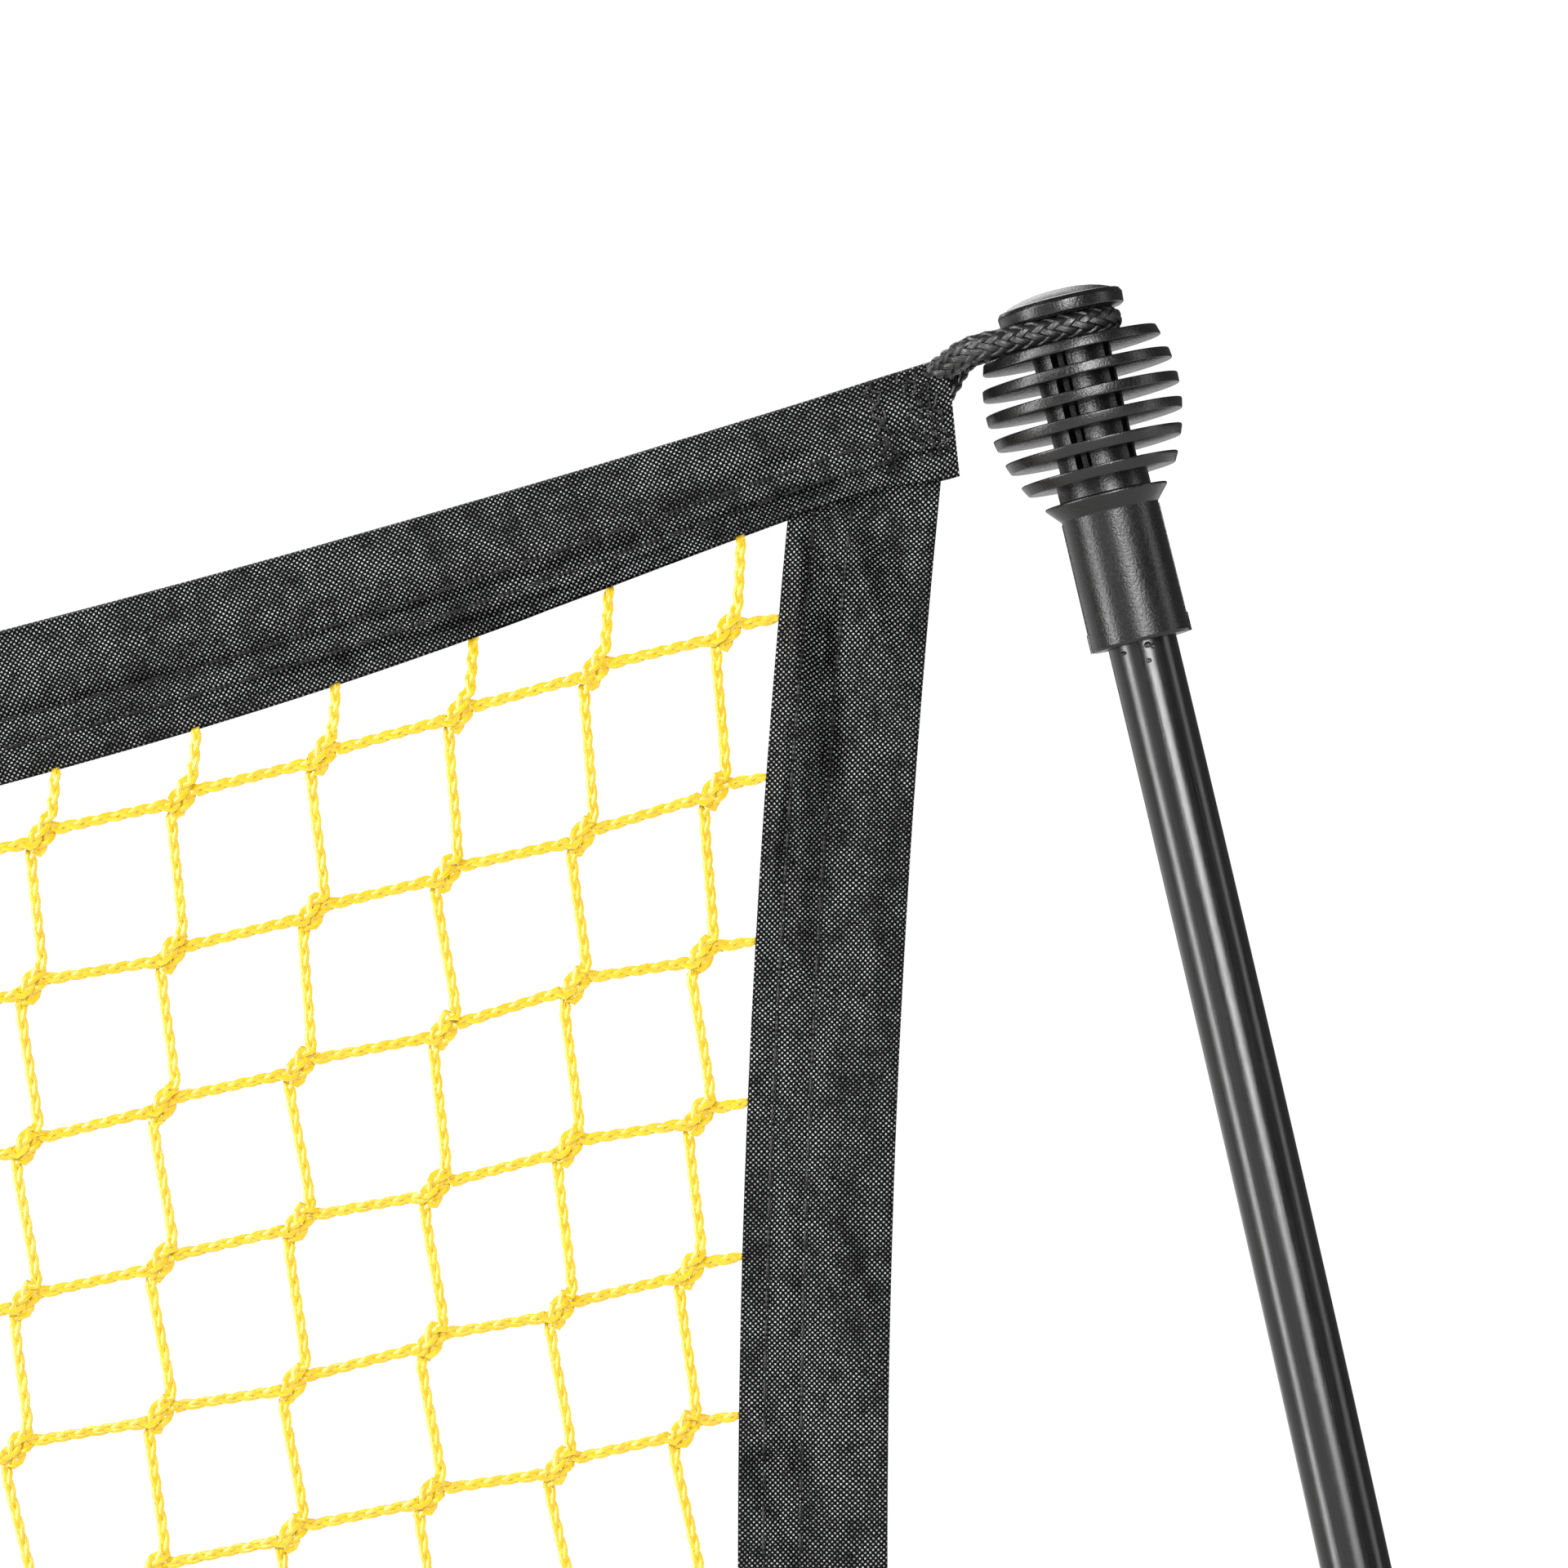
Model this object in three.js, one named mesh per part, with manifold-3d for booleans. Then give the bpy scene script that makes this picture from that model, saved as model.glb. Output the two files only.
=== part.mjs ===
// A free-standing lawn net: a low steel base with swing-out feet, two bowed fibreglass poles with finned
// heads, and a mesh panel edged in folded tape, stretched between the poles by a rope loop at each corner.
// Millimetres, +Z up, +X along the net, front at -Y. The origin is on the ground, midway between the poles.
import * as THREE from "three";
import { mergeVertices } from "three/addons/utils/BufferGeometryUtils.js";
import Module from "manifold-3d";

const wasm = await Module();
wasm.setup();

// ---- Driving dimensions ----
const GAP = 0.3; // left between pieces that touch

const ROD_R = 4.75;
const TIP = { x: 673, z: 911, lean: 0.2365 }; // the middle of the head's button, on the pole's centreline
const BOW = 1.4e-6; // how fast the rod's curvature grows with distance from its loaded tip, per mm^2
const ROD_TOP = 27; // distances down the pole from the tip
const FERRULE = { from: 505, joint: 545, to: 585, r: 6.3 };
const COLLAR_AT = 459;
const STRAIGHT_FROM = 830; // the rod stays straight inside the hub
const POLE_LENGTH = 900;

const PANEL = {
  halfWidth: 655.3,
  cornerZ: 903.8,
  topSlope: 0.321, // of the top edge where it meets the corner; it is level at the middle
  tape: 20.3, // width of the tape on all four edges
  sideStartZ: 887.5, // the side edge is given from this height down
  sideStartX: 656.7,
  sideSlope: 0.1,
  sideCurve: 3.4e-4,
  lowerCornerZ: 441.8,
  bottomSag: 61,
};
const TAPE_HALF = { top: 3, side: 2, bottom: 3 };
const MESH_HALF = 1.2;

const ROPE_R = 1.7;
const ROPE_CHANNEL_R = 2.1;
const LOOP_STEPS = 38;
const LOOP_INSET = 18; // how far a corner loop's sewn ends reach into the tape

const RAIL = { r: 11, bore: 9.5, z: 30, centreHalf: 300, plug: 38, end: 694 };
const PLUG = { r: 9.1, bore: 7.6 };
const BUTTON_X = 280;
const HUB = { from: 655, to: 752, half: 20, bottom: 4, top: 48, socketEnd: 696 };
const PIVOT = { x: 715, y: 34, z: 20, holeR: 3.3, boltR: 3 };
const LUG = { r: 12, lowFrom: 6.5, lowTo: 11.5, highFrom: 28.5, highTo: 34.5 };
const FOOT = { length: 240, tubeR: 9.5, tubeBore: 8, tubeFrom: 18 };

// ---- Materials ----
const paint = (color, roughness, metalness) =>
  new THREE.MeshStandardMaterial({ color, roughness, metalness });
const MATERIALS = {
  steelBlack: paint(0x1c1c1e, 0.45, 0.6),
  zinc: paint(0x9a9b9d, 0.35, 0.9),
  nylon: paint(0x1f1f21, 0.6, 0.0),
  headPlastic: paint(0x242426, 0.5, 0.0),
  fibreglass: paint(0x141416, 0.25, 0.0),
  rubber: paint(0x18181a, 0.85, 0.0),
  tape: paint(0x1d1d20, 0.8, 0.0),
  rope: paint(0x161618, 0.75, 0.0),
  meshCord: paint(0xf2d20a, 0.6, 0.0),
};

// ---- Geometry helpers ----
function solid(geometry) {
  const bare = geometry.clone();
  bare.deleteAttribute("normal");
  bare.deleteAttribute("uv");
  const merged = mergeVertices(bare, 1e-3);
  return new wasm.Manifold(
    new wasm.Mesh({
      numProp: 3,
      vertProperties: merged.attributes.position.array,
      triVerts: new Uint32Array(merged.index.array),
    }),
  );
}

function geometryOf(made) {
  const mesh = made.getMesh();
  return new THREE.BufferGeometry()
    .setAttribute("position", new THREE.BufferAttribute(mesh.vertProperties, 3))
    .setIndex(new THREE.BufferAttribute(mesh.triVerts, 1));
}

const join = (...shapes) => shapes.map(solid).reduce((a, b) => a.add(b));

// Joins the first list of geometries and cuts the second list out of them.
function shaped(add, remove = []) {
  return geometryOf(remove.reduce((made, tool) => made.subtract(solid(tool)), join(...add)));
}

const outline = (points) => new THREE.Shape(points.map(([x, y]) => new THREE.Vector2(x, y)));

function ringPoints(radius, sides, turn = 0) {
  return Array.from({ length: sides }, (_, i) => {
    const a = turn + (2 * Math.PI * i) / sides;
    return [radius * Math.cos(a), radius * Math.sin(a)];
  });
}

// A plate with an X-Y outline, from z = low to z = high.
function plate(points, low, high) {
  const flat = { depth: high - low, bevelEnabled: false };
  return new THREE.ExtrudeGeometry(outline(points), flat).translate(0, 0, low);
}

// A plate with an X-Z outline, centred on y = 0.
function upright(points, half) {
  return plate(points, -half, half).rotateX(Math.PI / 2);
}

function tube(curve, radius, sides, steps, bore = 0) {
  const section = outline(ringPoints(radius, sides));
  if (bore) section.holes.push(outline(ringPoints(bore, sides)));
  return new THREE.ExtrudeGeometry(section, { steps, extrudePath: curve, bevelEnabled: false });
}

// A turned piece about Z: its profile is a list of [radius, z] going upwards round the section.
function turned(profile, sides = 16) {
  const points = profile.map(([r, z]) => new THREE.Vector2(r, z));
  return new THREE.LatheGeometry(points, sides).rotateX(Math.PI / 2);
}

const alongX = (geometry) => geometry.rotateY(Math.PI / 2);

const rod = (radius, low, high, sides = 16) =>
  turned([[0, low], [radius, low], [radius, high], [0, high]], sides);

const pipe = (radius, bore, low, high, sides = 16) =>
  turned([[bore, low], [radius, low], [radius, high], [bore, high], [bore, low]], sides);

// ---- Where things run ----
function leanAt(s) {
  const bent = Math.min(s, STRAIGHT_FROM);
  return TIP.lean - (BOW * bent * bent) / 2;
}

// The right pole's centreline, s millimetres down from its tip. lean is its angle from upright, towards the net.
function pole(s) {
  const steps = Math.max(1, Math.ceil(s / 5));
  const step = s / steps;
  let { x, z } = TIP;
  for (let i = 0; i < steps; i++) {
    const lean = leanAt((i + 0.5) * step);
    x += step * Math.sin(lean);
    z -= step * Math.cos(lean);
  }
  return { x, z, lean: leanAt(s) };
}

class PoleCurve extends THREE.Curve {
  constructor(from, to) {
    super();
    this.from = from;
    this.to = to;
  }
  getPoint(t, target = new THREE.Vector3()) {
    const { x, z } = pole(this.from + t * (this.to - this.from));
    return target.set(x, 0, z);
  }
}

const halfAt = (edge) => (edge === "top" ? PANEL.halfWidth : LOWER_HALF);

// The side edge's x at a height, on the right.
function sideX(z) {
  const down = PANEL.sideStartZ - z;
  return PANEL.sideStartX - PANEL.sideSlope * down + PANEL.sideCurve * down * down;
}
const LOWER_HALF = sideX(PANEL.lowerCornerZ);

// The top or bottom edge of the panel at x: its height and slope, moved inwards by a distance.
function edgeZ(edge, x, inwards = 0) {
  const half = halfAt(edge);
  const slope = edge === "top" ? PANEL.topSlope : (2 * PANEL.bottomSag) / half;
  const corner = edge === "top" ? PANEL.cornerZ : PANEL.lowerCornerZ;
  const across = half - Math.abs(x);
  const here = slope * (1 - across / half);
  const shift = inwards * Math.hypot(1, here) * (edge === "top" ? -1 : 1);
  return corner - slope * across + (slope * across * across) / (2 * half) + shift;
}

class EdgeCurve extends THREE.Curve {
  constructor(edge, inwards, reach) {
    super();
    Object.assign(this, { edge, inwards, reach });
  }
  getPoint(t, target = new THREE.Vector3()) {
    const x = this.reach * (2 * t - 1);
    return target.set(x, 0, edgeZ(this.edge, x, this.inwards));
  }
}

const spaced = (from, to, count) =>
  Array.from({ length: count + 1 }, (_, i) => from + ((to - from) * i) / count);

// ---- Pole head ----
const FIN = { count: 6, first: -5.84, pitch: 3.48, half: 0.83 };
const HEAD = { core: 4, lobe: 5.95, rib: 5.6, ribHalfAngle: 4, grooveZ: -3.03, mouth: -46.8, bore: ROD_R + GAP };
// Curved faces of the ribbed core, as [middle, half width] in degrees; the other side repeats them.
const LOBES = [[17, 27.5], [-50, 17.5]];
const RIBS = [66, -20];

const finEnvelope = (z) => 13.45 - 0.0242 * (z + 12.6) ** 2;

function headProfile() {
  const fins = Array.from({ length: FIN.count }, (_, i) => FIN.first - FIN.pitch * i).reverse();
  const inner = HEAD.core - 0.1;
  return [
    [0, -ROD_TOP + GAP], [HEAD.bore, -ROD_TOP + GAP], [HEAD.bore, HEAD.mouth], [6.8, HEAD.mouth],
    [6.75, -28.5], [8.5, -26.5], [8.5, -26.2], [6.35, -26.1], [6.35, FIN.first - FIN.pitch * 5 - FIN.half],
    ...fins.flatMap((z) => [
      [z === fins[0] ? 6.35 : inner, z - FIN.half],
      [finEnvelope(z - FIN.half), z - FIN.half],
      [finEnvelope(z + FIN.half), z + FIN.half],
      [inner, z + FIN.half],
    ]).slice(1),
    [inner, -1.05], [8.2, -1.05], [8.55, -0.6], [8.55, 0.5], [8.1, 1.05], [6.2, 1.85], [3.2, 2.45], [0, 2.6],
  ];
}

function coreOutline() {
  const within = (angle, middle, half) =>
    Math.abs(((angle - middle + 540) % 360) - 180) <= half;
  const radiusAt = (a) => {
    if (LOBES.some(([m, h]) => within(a, m, h) || within(a, m + 180, h))) return HEAD.lobe;
    return RIBS.some((m) => within(a, m, HEAD.ribHalfAngle) || within(a, m + 180, HEAD.ribHalfAngle))
      ? HEAD.rib
      : HEAD.core;
  };
  const edges = [...LOBES, ...RIBS.map((m) => [m, HEAD.ribHalfAngle])].flatMap(([m, h]) =>
    [m, m + 180].flatMap((c) => (h > 10 ? [c - h, c, c + h] : [c - h, c + h])),
  );
  const angles = edges.map((a) => (a + 720) % 360).sort((a, b) => a - b);
  const nudge = 0.4;
  return angles.flatMap((a) =>
    [a - nudge, a + nudge].map((b) => {
      const radius = radiusAt(b);
      const turn = (a * Math.PI) / 180;
      return [radius, turn];
    }),
  ).filter(([r, t], i, all) => i === 0 || r !== all[i - 1][0] || t !== all[i - 1][1])
    .map(([r, t]) => [r * Math.sin(t), -r * Math.cos(t)]);
}

function headGeometry() {
  const top = FIN.first;
  const bottom = FIN.first - FIN.pitch * (FIN.count - 1);
  return shaped([turned(headProfile(), 16), plate(coreOutline(), bottom, top)]);
}

// ---- Rope loops at the panel's corners ----
// The loop leaves the tape, runs round a groove and comes back beneath itself. centre is the groove's middle and
// out its direction away from the net; rim is how far the strand must clear before it bends to the tape.
function loopCurve({ mouthX, upperZ, lowerZ, slope, centre, out, radius, rim, rimY }) {
  const at = (along, y) => new THREE.Vector3(centre.x + along * out.x, y, centre.z + along * out.z);
  const arc = spaced(-90, 90, 6).map((degrees) => {
    const a = (degrees * Math.PI) / 180;
    return at(radius * Math.cos(a), radius * Math.sin(a));
  });
  const inside = (z) => [
    new THREE.Vector3(mouthX - LOOP_INSET, 0, z - slope * LOOP_INSET),
    new THREE.Vector3(mouthX - LOOP_INSET / 2, 0, z - (slope * LOOP_INSET) / 2),
    new THREE.Vector3(mouthX, 0, z),
  ];
  return new THREE.CatmullRomCurve3([
    ...inside(upperZ), at(-rim, -rimY), at(-rim / 2, -radius), ...arc, at(-rim / 2, radius), at(-rim, rimY),
    ...inside(lowerZ).reverse(),
  ], false, "centripetal");
}

function headLoopCurve() {
  const lean = TIP.lean;
  return loopCurve({
    mouthX: PANEL.halfWidth,
    upperZ: PANEL.cornerZ - 3.4,
    lowerZ: PANEL.cornerZ - 7.6,
    slope: PANEL.topSlope,
    centre: { x: TIP.x - HEAD.grooveZ * Math.sin(lean), z: TIP.z + HEAD.grooveZ * Math.cos(lean) },
    out: { x: Math.cos(lean), z: Math.sin(lean) },
    radius: HEAD.core + GAP + ROPE_R,
    rim: 13.8,
    rimY: 5.4,
  });
}

const COLLAR = { core: 6.5, flange: 10, groove: 2.1 };

function collarLoopCurve() {
  const { x, z, lean } = pole(COLLAR_AT);
  return loopCurve({
    mouthX: LOWER_HALF,
    upperZ: PANEL.lowerCornerZ + 8.2,
    lowerZ: PANEL.lowerCornerZ + 4,
    slope: (2 * PANEL.bottomSag) / LOWER_HALF,
    centre: { x, z },
    out: { x: Math.cos(lean), z: Math.sin(lean) },
    radius: COLLAR.core + 3 * GAP + ROPE_R,
    rim: 12,
    rimY: 7,
  });
}

// ---- The panel ----
const ACROSS = 20; // points along a long edge

function edgeBand(edge, half) {
  const xs = spaced(-halfAt(edge), halfAt(edge), ACROSS);
  const outer = xs.map((x) => [x, edgeZ(edge, x)]);
  const inner = xs.map((x) => [x, edgeZ(edge, x, PANEL.tape)]).reverse();
  return upright([...outer, ...inner], half);
}

// A tape with its cord's channel, open at both ends, and room for the sewn ends of the corner loops.
function edgeTape(edge, half, loop) {
  const reach = halfAt(edge) - LOOP_INSET;
  const mirrored = tube(loop, ROPE_CHANNEL_R, 6, LOOP_STEPS).scale(-1, 1, 1);
  const flipped = mirrored.index ? mirrored.toNonIndexed() : mirrored;
  const position = flipped.attributes.position;
  for (let i = 0; i < position.count; i += 3) {
    const [a, b] = [i + 1, i + 2].map((k) => new THREE.Vector3().fromBufferAttribute(position, k));
    position.setXYZ(i + 1, b.x, b.y, b.z);
    position.setXYZ(i + 2, a.x, a.y, a.z);
  }
  const channel = tube(new EdgeCurve(edge, CORD_DEPTH, reach + 2), ROPE_CHANNEL_R, 6, ACROSS);
  return shaped([edgeBand(edge, half)], [channel, tube(loop, ROPE_CHANNEL_R, 6, LOOP_STEPS), flipped]);
}
const CORD_DEPTH = 4.2;

// The height at which a side tape meets the top or bottom tape.
function meets(edge, x) {
  return edgeZ(edge, x, PANEL.tape + GAP);
}

function sideTape() {
  const edgeFrom = (inset) => {
    const high = meets("top", sideX(PANEL.sideStartZ) - inset);
    const low = meets("bottom", LOWER_HALF - inset);
    return spaced(high, low, 12).map((z) => [sideX(z) - inset, z]);
  };
  return upright([...edgeFrom(0), ...edgeFrom(PANEL.tape).reverse()], TAPE_HALF.side);
}

function meshPanel() {
  const inset = PANEL.tape + GAP;
  const half = (z) => sideX(z) - inset;
  const highEnd = half(meets("top", half(PANEL.sideStartZ)));
  const lowEnd = half(meets("bottom", LOWER_HALF - inset));
  const high = spaced(-highEnd, highEnd, ACROSS).map((x) => [x, meets("top", x)]);
  const low = spaced(lowEnd, -lowEnd, ACROSS).map((x) => [x, meets("bottom", x)]);
  const sideZ = spaced(meets("top", highEnd), meets("bottom", lowEnd), 12).slice(1, -1);
  const right = sideZ.map((z) => [half(z), z]);
  const left = sideZ.map((z) => [-half(z), z]).reverse();
  return upright([...high, ...right, ...low, ...left], MESH_HALF);
}

// ---- The base ----
function hubGeometry() {
  const foot = pole(POLE_LENGTH);
  const lean = foot.lean;
  const onAxis = (geometry) => geometry.rotateY(-lean).translate(foot.x, 0, foot.z);
  const { from, to, bottom, top, half } = HUB;
  const body = upright([
    [from, bottom], [to - 6, bottom], [to, bottom + 8], [to, top - 10], [to - 8, top], [from + 4, top],
    [from, top - 4],
  ], half);
  const tower = onAxis(turned([[0, -8], [13, -8], [12, 66], [10.5, 68], [0, 68]], 16));
  const gusset = upright([[from + 22, top - 4], [foot.x + 10, top - 4], [foot.x + 22, top + 34]], 3);
  const lugs = [-1, 1].flatMap((side) =>
    [[LUG.lowFrom, LUG.lowTo], [LUG.highFrom, LUG.highTo]].map(([low, high]) => {
      const round = spaced(0, 180, 8).map((degrees) => {
        const a = (degrees * Math.PI) / 180;
        return [PIVOT.x + LUG.r * Math.cos(a), side * (PIVOT.y + LUG.r * Math.sin(a))];
      });
      const points = [[PIVOT.x + LUG.r, side * (half - 2)], ...round, [PIVOT.x - LUG.r, side * (half - 2)]];
      return plate(side > 0 ? points : points.reverse(), low, high);
    }),
  );
  const railSocket = alongX(rod(RAIL.r + GAP, from - 1, HUB.socketEnd)).translate(0, 0, RAIL.z);
  const poleBore = onAxis(rod(ROD_R + GAP, -1, 80));
  const holes = [-1, 1].map((side) =>
    rod(PIVOT.holeR, 0, 60, 12).translate(PIVOT.x, side * PIVOT.y, 0),
  );
  const screwHole = rod(2.2, RAIL.z, top + 1, 12).translate(SCREW_X, 0, 0);
  return shaped([body, tower, gusset, ...lugs], [railSocket, poleBore, ...holes, screwHole]);
}
const SCREW_X = 667;

const hubPad = () =>
  plate([[HUB.from + 6, -16], [HUB.to - 10, -16], [HUB.to - 10, 16], [HUB.from + 6, 16]], 0, HUB.bottom - GAP);

function centreRail() {
  const holes = [-1, 1].map((side) =>
    rod(3.4, 0, RAIL.r + 4, 12).translate(side * BUTTON_X, 0, 0),
  );
  return shaped([alongX(pipe(RAIL.r, RAIL.bore, -RAIL.centreHalf, RAIL.centreHalf))], holes);
}

function sideRail() {
  const start = RAIL.centreHalf + GAP;
  const body = alongX(turned([
    [PLUG.bore, start - RAIL.plug], [PLUG.r - 0.6, start - RAIL.plug], [PLUG.r, start - RAIL.plug + 2],
    [PLUG.r, start], [RAIL.r, start], [RAIL.r, RAIL.end], [PLUG.bore, RAIL.end],
    [PLUG.bore, start - RAIL.plug],
  ]));
  const buttonHole = rod(3.4, 0, RAIL.r + 4, 12).translate(BUTTON_X, 0, 0);
  const screwHole = rod(2.2, 0, RAIL.r + 4, 12).translate(SCREW_X, 0, 0);
  return shaped([body], [buttonHole, screwHole]);
}

const snapButton = () =>
  turned([[0, 4.9], [4.3, 4.9], [4.3, 5.8], [3, 5.8], [3, 13.6], [2.2, 14.6], [0, 14.9]], 12);

// A folded leaf spring inside the plug: one leg under the button, the other on the tube's floor.
function buttonSpring() {
  const [tip, bend, thick, up, down] = [-7, 37, 0.8, 4.6, -6.6];
  return upright([
    [bend, -1.6], [bend + 1.4, -1], [bend, -0.4], [tip, up], [tip, up - thick], [bend - 4, -1],
    [tip, down + thick], [tip, down],
  ], 3);
}

const railScrew = () =>
  turned([[0, 7.9], [1.3, 9], [1.8, 10], [1.8, 18.3], [3.8, 18.3], [3.8, 19.6], [2.6, 20.8], [0, 21]], 12);

// ---- A folding foot, along its own +X from the pivot ----
function knuckle() {
  const half = (LUG.highFrom - LUG.lowTo) / 2 - GAP;
  const middle = (LUG.highFrom + LUG.lowTo) / 2 - PIVOT.z;
  const round = spaced(90, 270, 8).map((degrees) => {
    const a = (degrees * Math.PI) / 180;
    return [10.5 * Math.cos(a), 10.5 * Math.sin(a)];
  });
  const block = plate([...round, [FOOT.tubeFrom - GAP, -9], [FOOT.tubeFrom - GAP, 9]], middle - half, middle + half);
  const spigot = alongX(rod(FOOT.tubeBore - GAP, 8, 46));
  return shaped([block, spigot], [rod(PIVOT.holeR, -20, 20, 12)]);
}

const footTube = () => alongX(pipe(FOOT.tubeR, FOOT.tubeBore, FOOT.tubeFrom, FOOT.length - 5));

function boot() {
  const [from, to, half] = [FOOT.length - 36, FOOT.length, 11];
  const sleeve = alongX(turned([[0, from], [12.2, from], [12.8, to - 3], [11, to], [0, to]]));
  const sole = plate([[from, -half], [to - 3, -half], [to, -half + 3], [to, half - 3], [to - 3, half], [from, half]],
    -PIVOT.z, -6);
  return shaped([sleeve, sole], [alongX(rod(FOOT.tubeR + GAP, from - 1, FOOT.length - 5 + GAP))]);
}

const hexagon = (across) => ringPoints(across / Math.sqrt(3), 6);

const pivotBolt = () =>
  shaped([
    plate(hexagon(10), LUG.highTo + GAP, LUG.highTo + 4.3),
    rod(PIVOT.boltR, 1, LUG.highTo + 1, 12),
  ]);

const pivotNut = () => shaped([plate(hexagon(10), 1.4, LUG.lowFrom - GAP)], [rod(PIVOT.boltR + GAP, 0, 9, 12)]);

// ---- Assembly ----
const net = new THREE.Group();

function add(parent, name, geometry, material, place = {}) {
  const mesh = new THREE.Mesh(geometry, MATERIALS[material]);
  mesh.name = name;
  mesh.position.set(place.x ?? 0, place.y ?? 0, place.z ?? 0);
  mesh.rotation.y = place.lean ?? 0;
  parent.add(mesh);
}

// A piece that sits square on the right pole, s millimetres down it.
function onPole(s) {
  const { x, z, lean } = pole(s);
  return { x, z, lean: -lean };
}

function addPole(parent, side) {
  add(parent, `pole_head_${side}`, headGeometry(), "headPlastic", onPole(0));
  const rodPart = (from, to, steps) => tube(new PoleCurve(from, to), ROD_R, 12, steps);
  add(parent, `pole_upper_${side}`, rodPart(ROD_TOP, FERRULE.joint - GAP / 2, 10), "fibreglass");
  add(parent, `pole_lower_${side}`, rodPart(FERRULE.joint + GAP / 2, POLE_LENGTH, 8), "fibreglass");
  const sleeve = tube(new PoleCurve(FERRULE.from, FERRULE.to), FERRULE.r, 12, 4, ROD_R + GAP);
  add(parent, `pole_ferrule_${side}`, sleeve, "zinc");
  const { core, flange, groove } = COLLAR;
  const collar = turned([
    [ROD_R + GAP, -6], [flange - 0.8, -6], [flange, -5.2], [flange, -3], [flange - 1, -groove], [core, -groove],
    [core, groove], [flange - 1, groove], [flange, 3], [flange, 5.2], [flange - 0.8, 6], [ROD_R + GAP, 6],
    [ROD_R + GAP, -6],
  ]);
  add(parent, `loop_collar_${side}`, collar, "nylon", onPole(COLLAR_AT));
}

function addFoot(parent, side, end, turn) {
  const foot = new THREE.Group();
  foot.position.set(PIVOT.x, Math.sign(turn) * PIVOT.y, PIVOT.z);
  foot.rotation.z = turn;
  parent.add(foot);
  add(foot, `foot_knuckle_${side}_${end}`, knuckle(), "nylon");
  add(foot, `foot_tube_${side}_${end}`, footTube(), "steelBlack");
  add(foot, `foot_boot_${side}_${end}`, boot(), "rubber");
  const place = { x: PIVOT.x, y: Math.sign(turn) * PIVOT.y };
  add(parent, `pivot_bolt_${side}_${end}`, pivotBolt(), "zinc", place);
  add(parent, `pivot_nut_${side}_${end}`, pivotNut(), "zinc", place);
}

function addEnd(side, sign) {
  const end = new THREE.Group();
  end.scale.x = sign;
  net.add(end);
  addPole(end, side);
  add(end, `hub_${side}`, hubGeometry(), "nylon");
  add(end, `hub_pad_${side}`, hubPad(), "rubber");
  add(end, `base_rail_${side}`, sideRail(), "steelBlack", { z: RAIL.z });
  add(end, `rail_screw_${side}`, railScrew(), "zinc", { x: SCREW_X, z: RAIL.z });
  add(end, `snap_button_${side}`, snapButton(), "zinc", { x: BUTTON_X, z: RAIL.z });
  add(end, `button_spring_${side}`, buttonSpring(), "zinc", { x: BUTTON_X, z: RAIL.z });
  addFoot(end, side, "front", -Math.PI / 2);
  addFoot(end, side, "back", Math.PI / 2);
  add(end, `side_tape_${side}`, sideTape(), "tape");
  add(end, `loop_top_${side}`, tube(headLoopCurve(), ROPE_R, 6, LOOP_STEPS), "rope");
  add(end, `loop_bottom_${side}`, tube(collarLoopCurve(), ROPE_R, 6, LOOP_STEPS), "rope");
}

addEnd("right", 1);
addEnd("left", -1);
add(net, "base_rail_centre", centreRail(), "steelBlack", { z: RAIL.z });
add(net, "top_tape", edgeTape("top", TAPE_HALF.top, headLoopCurve()), "tape");
add(net, "bottom_tape", edgeTape("bottom", TAPE_HALF.bottom, collarLoopCurve()), "tape");
add(net, "mesh_panel", meshPanel(), "meshCord");
for (const edge of ["top", "bottom"]) {
  const cord = new EdgeCurve(edge, CORD_DEPTH, halfAt(edge) - LOOP_INSET - 4);
  add(net, `${edge}_cord`, tube(cord, ROPE_R, 6, ACROSS), "rope");
}

export default net;
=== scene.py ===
"""A free-standing lawn net, dressed round its CAD frame: knotless yellow netting edged in sewn black tape,
hung from two bowed fibreglass poles by braided rope loops. Shapes are worked out in millimetres."""

import math

import bmesh
import bpy
import numpy as np
from mathutils import Matrix, Vector


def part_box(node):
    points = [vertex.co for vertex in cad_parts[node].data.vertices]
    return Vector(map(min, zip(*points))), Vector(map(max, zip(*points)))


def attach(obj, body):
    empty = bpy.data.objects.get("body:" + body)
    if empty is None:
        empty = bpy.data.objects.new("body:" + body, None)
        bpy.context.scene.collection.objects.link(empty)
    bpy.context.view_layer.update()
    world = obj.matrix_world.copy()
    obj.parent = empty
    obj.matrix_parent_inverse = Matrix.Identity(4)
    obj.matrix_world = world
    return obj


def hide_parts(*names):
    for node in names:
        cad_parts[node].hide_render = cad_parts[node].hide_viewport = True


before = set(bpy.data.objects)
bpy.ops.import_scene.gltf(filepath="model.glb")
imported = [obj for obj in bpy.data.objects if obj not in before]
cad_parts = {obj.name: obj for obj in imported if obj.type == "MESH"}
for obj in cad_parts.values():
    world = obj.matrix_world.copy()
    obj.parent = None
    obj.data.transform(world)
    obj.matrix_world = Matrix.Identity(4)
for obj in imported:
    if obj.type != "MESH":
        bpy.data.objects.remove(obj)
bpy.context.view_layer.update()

MM = 0.001
SIDES = (("right", 1), ("left", -1))
NET = "net_frame"  # the CAD body that stands still
FRONT = np.array([0.0, -1.0, 0.0])

# ---- Driving dimensions, in millimetres ----
ROD_RADIUS = 4.75
TAPE_WIDTH = 20.3
# What the camera sees: its width at the net and where its middle is from the tip. Then how far off the camera
# is, and how many degrees it stands above that middle.
VIEW = {"width": 213.3, "beside_tip": -37.7, "below_tip": 64.8, "distance": 1250.0, "rise": -1.9}


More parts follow.
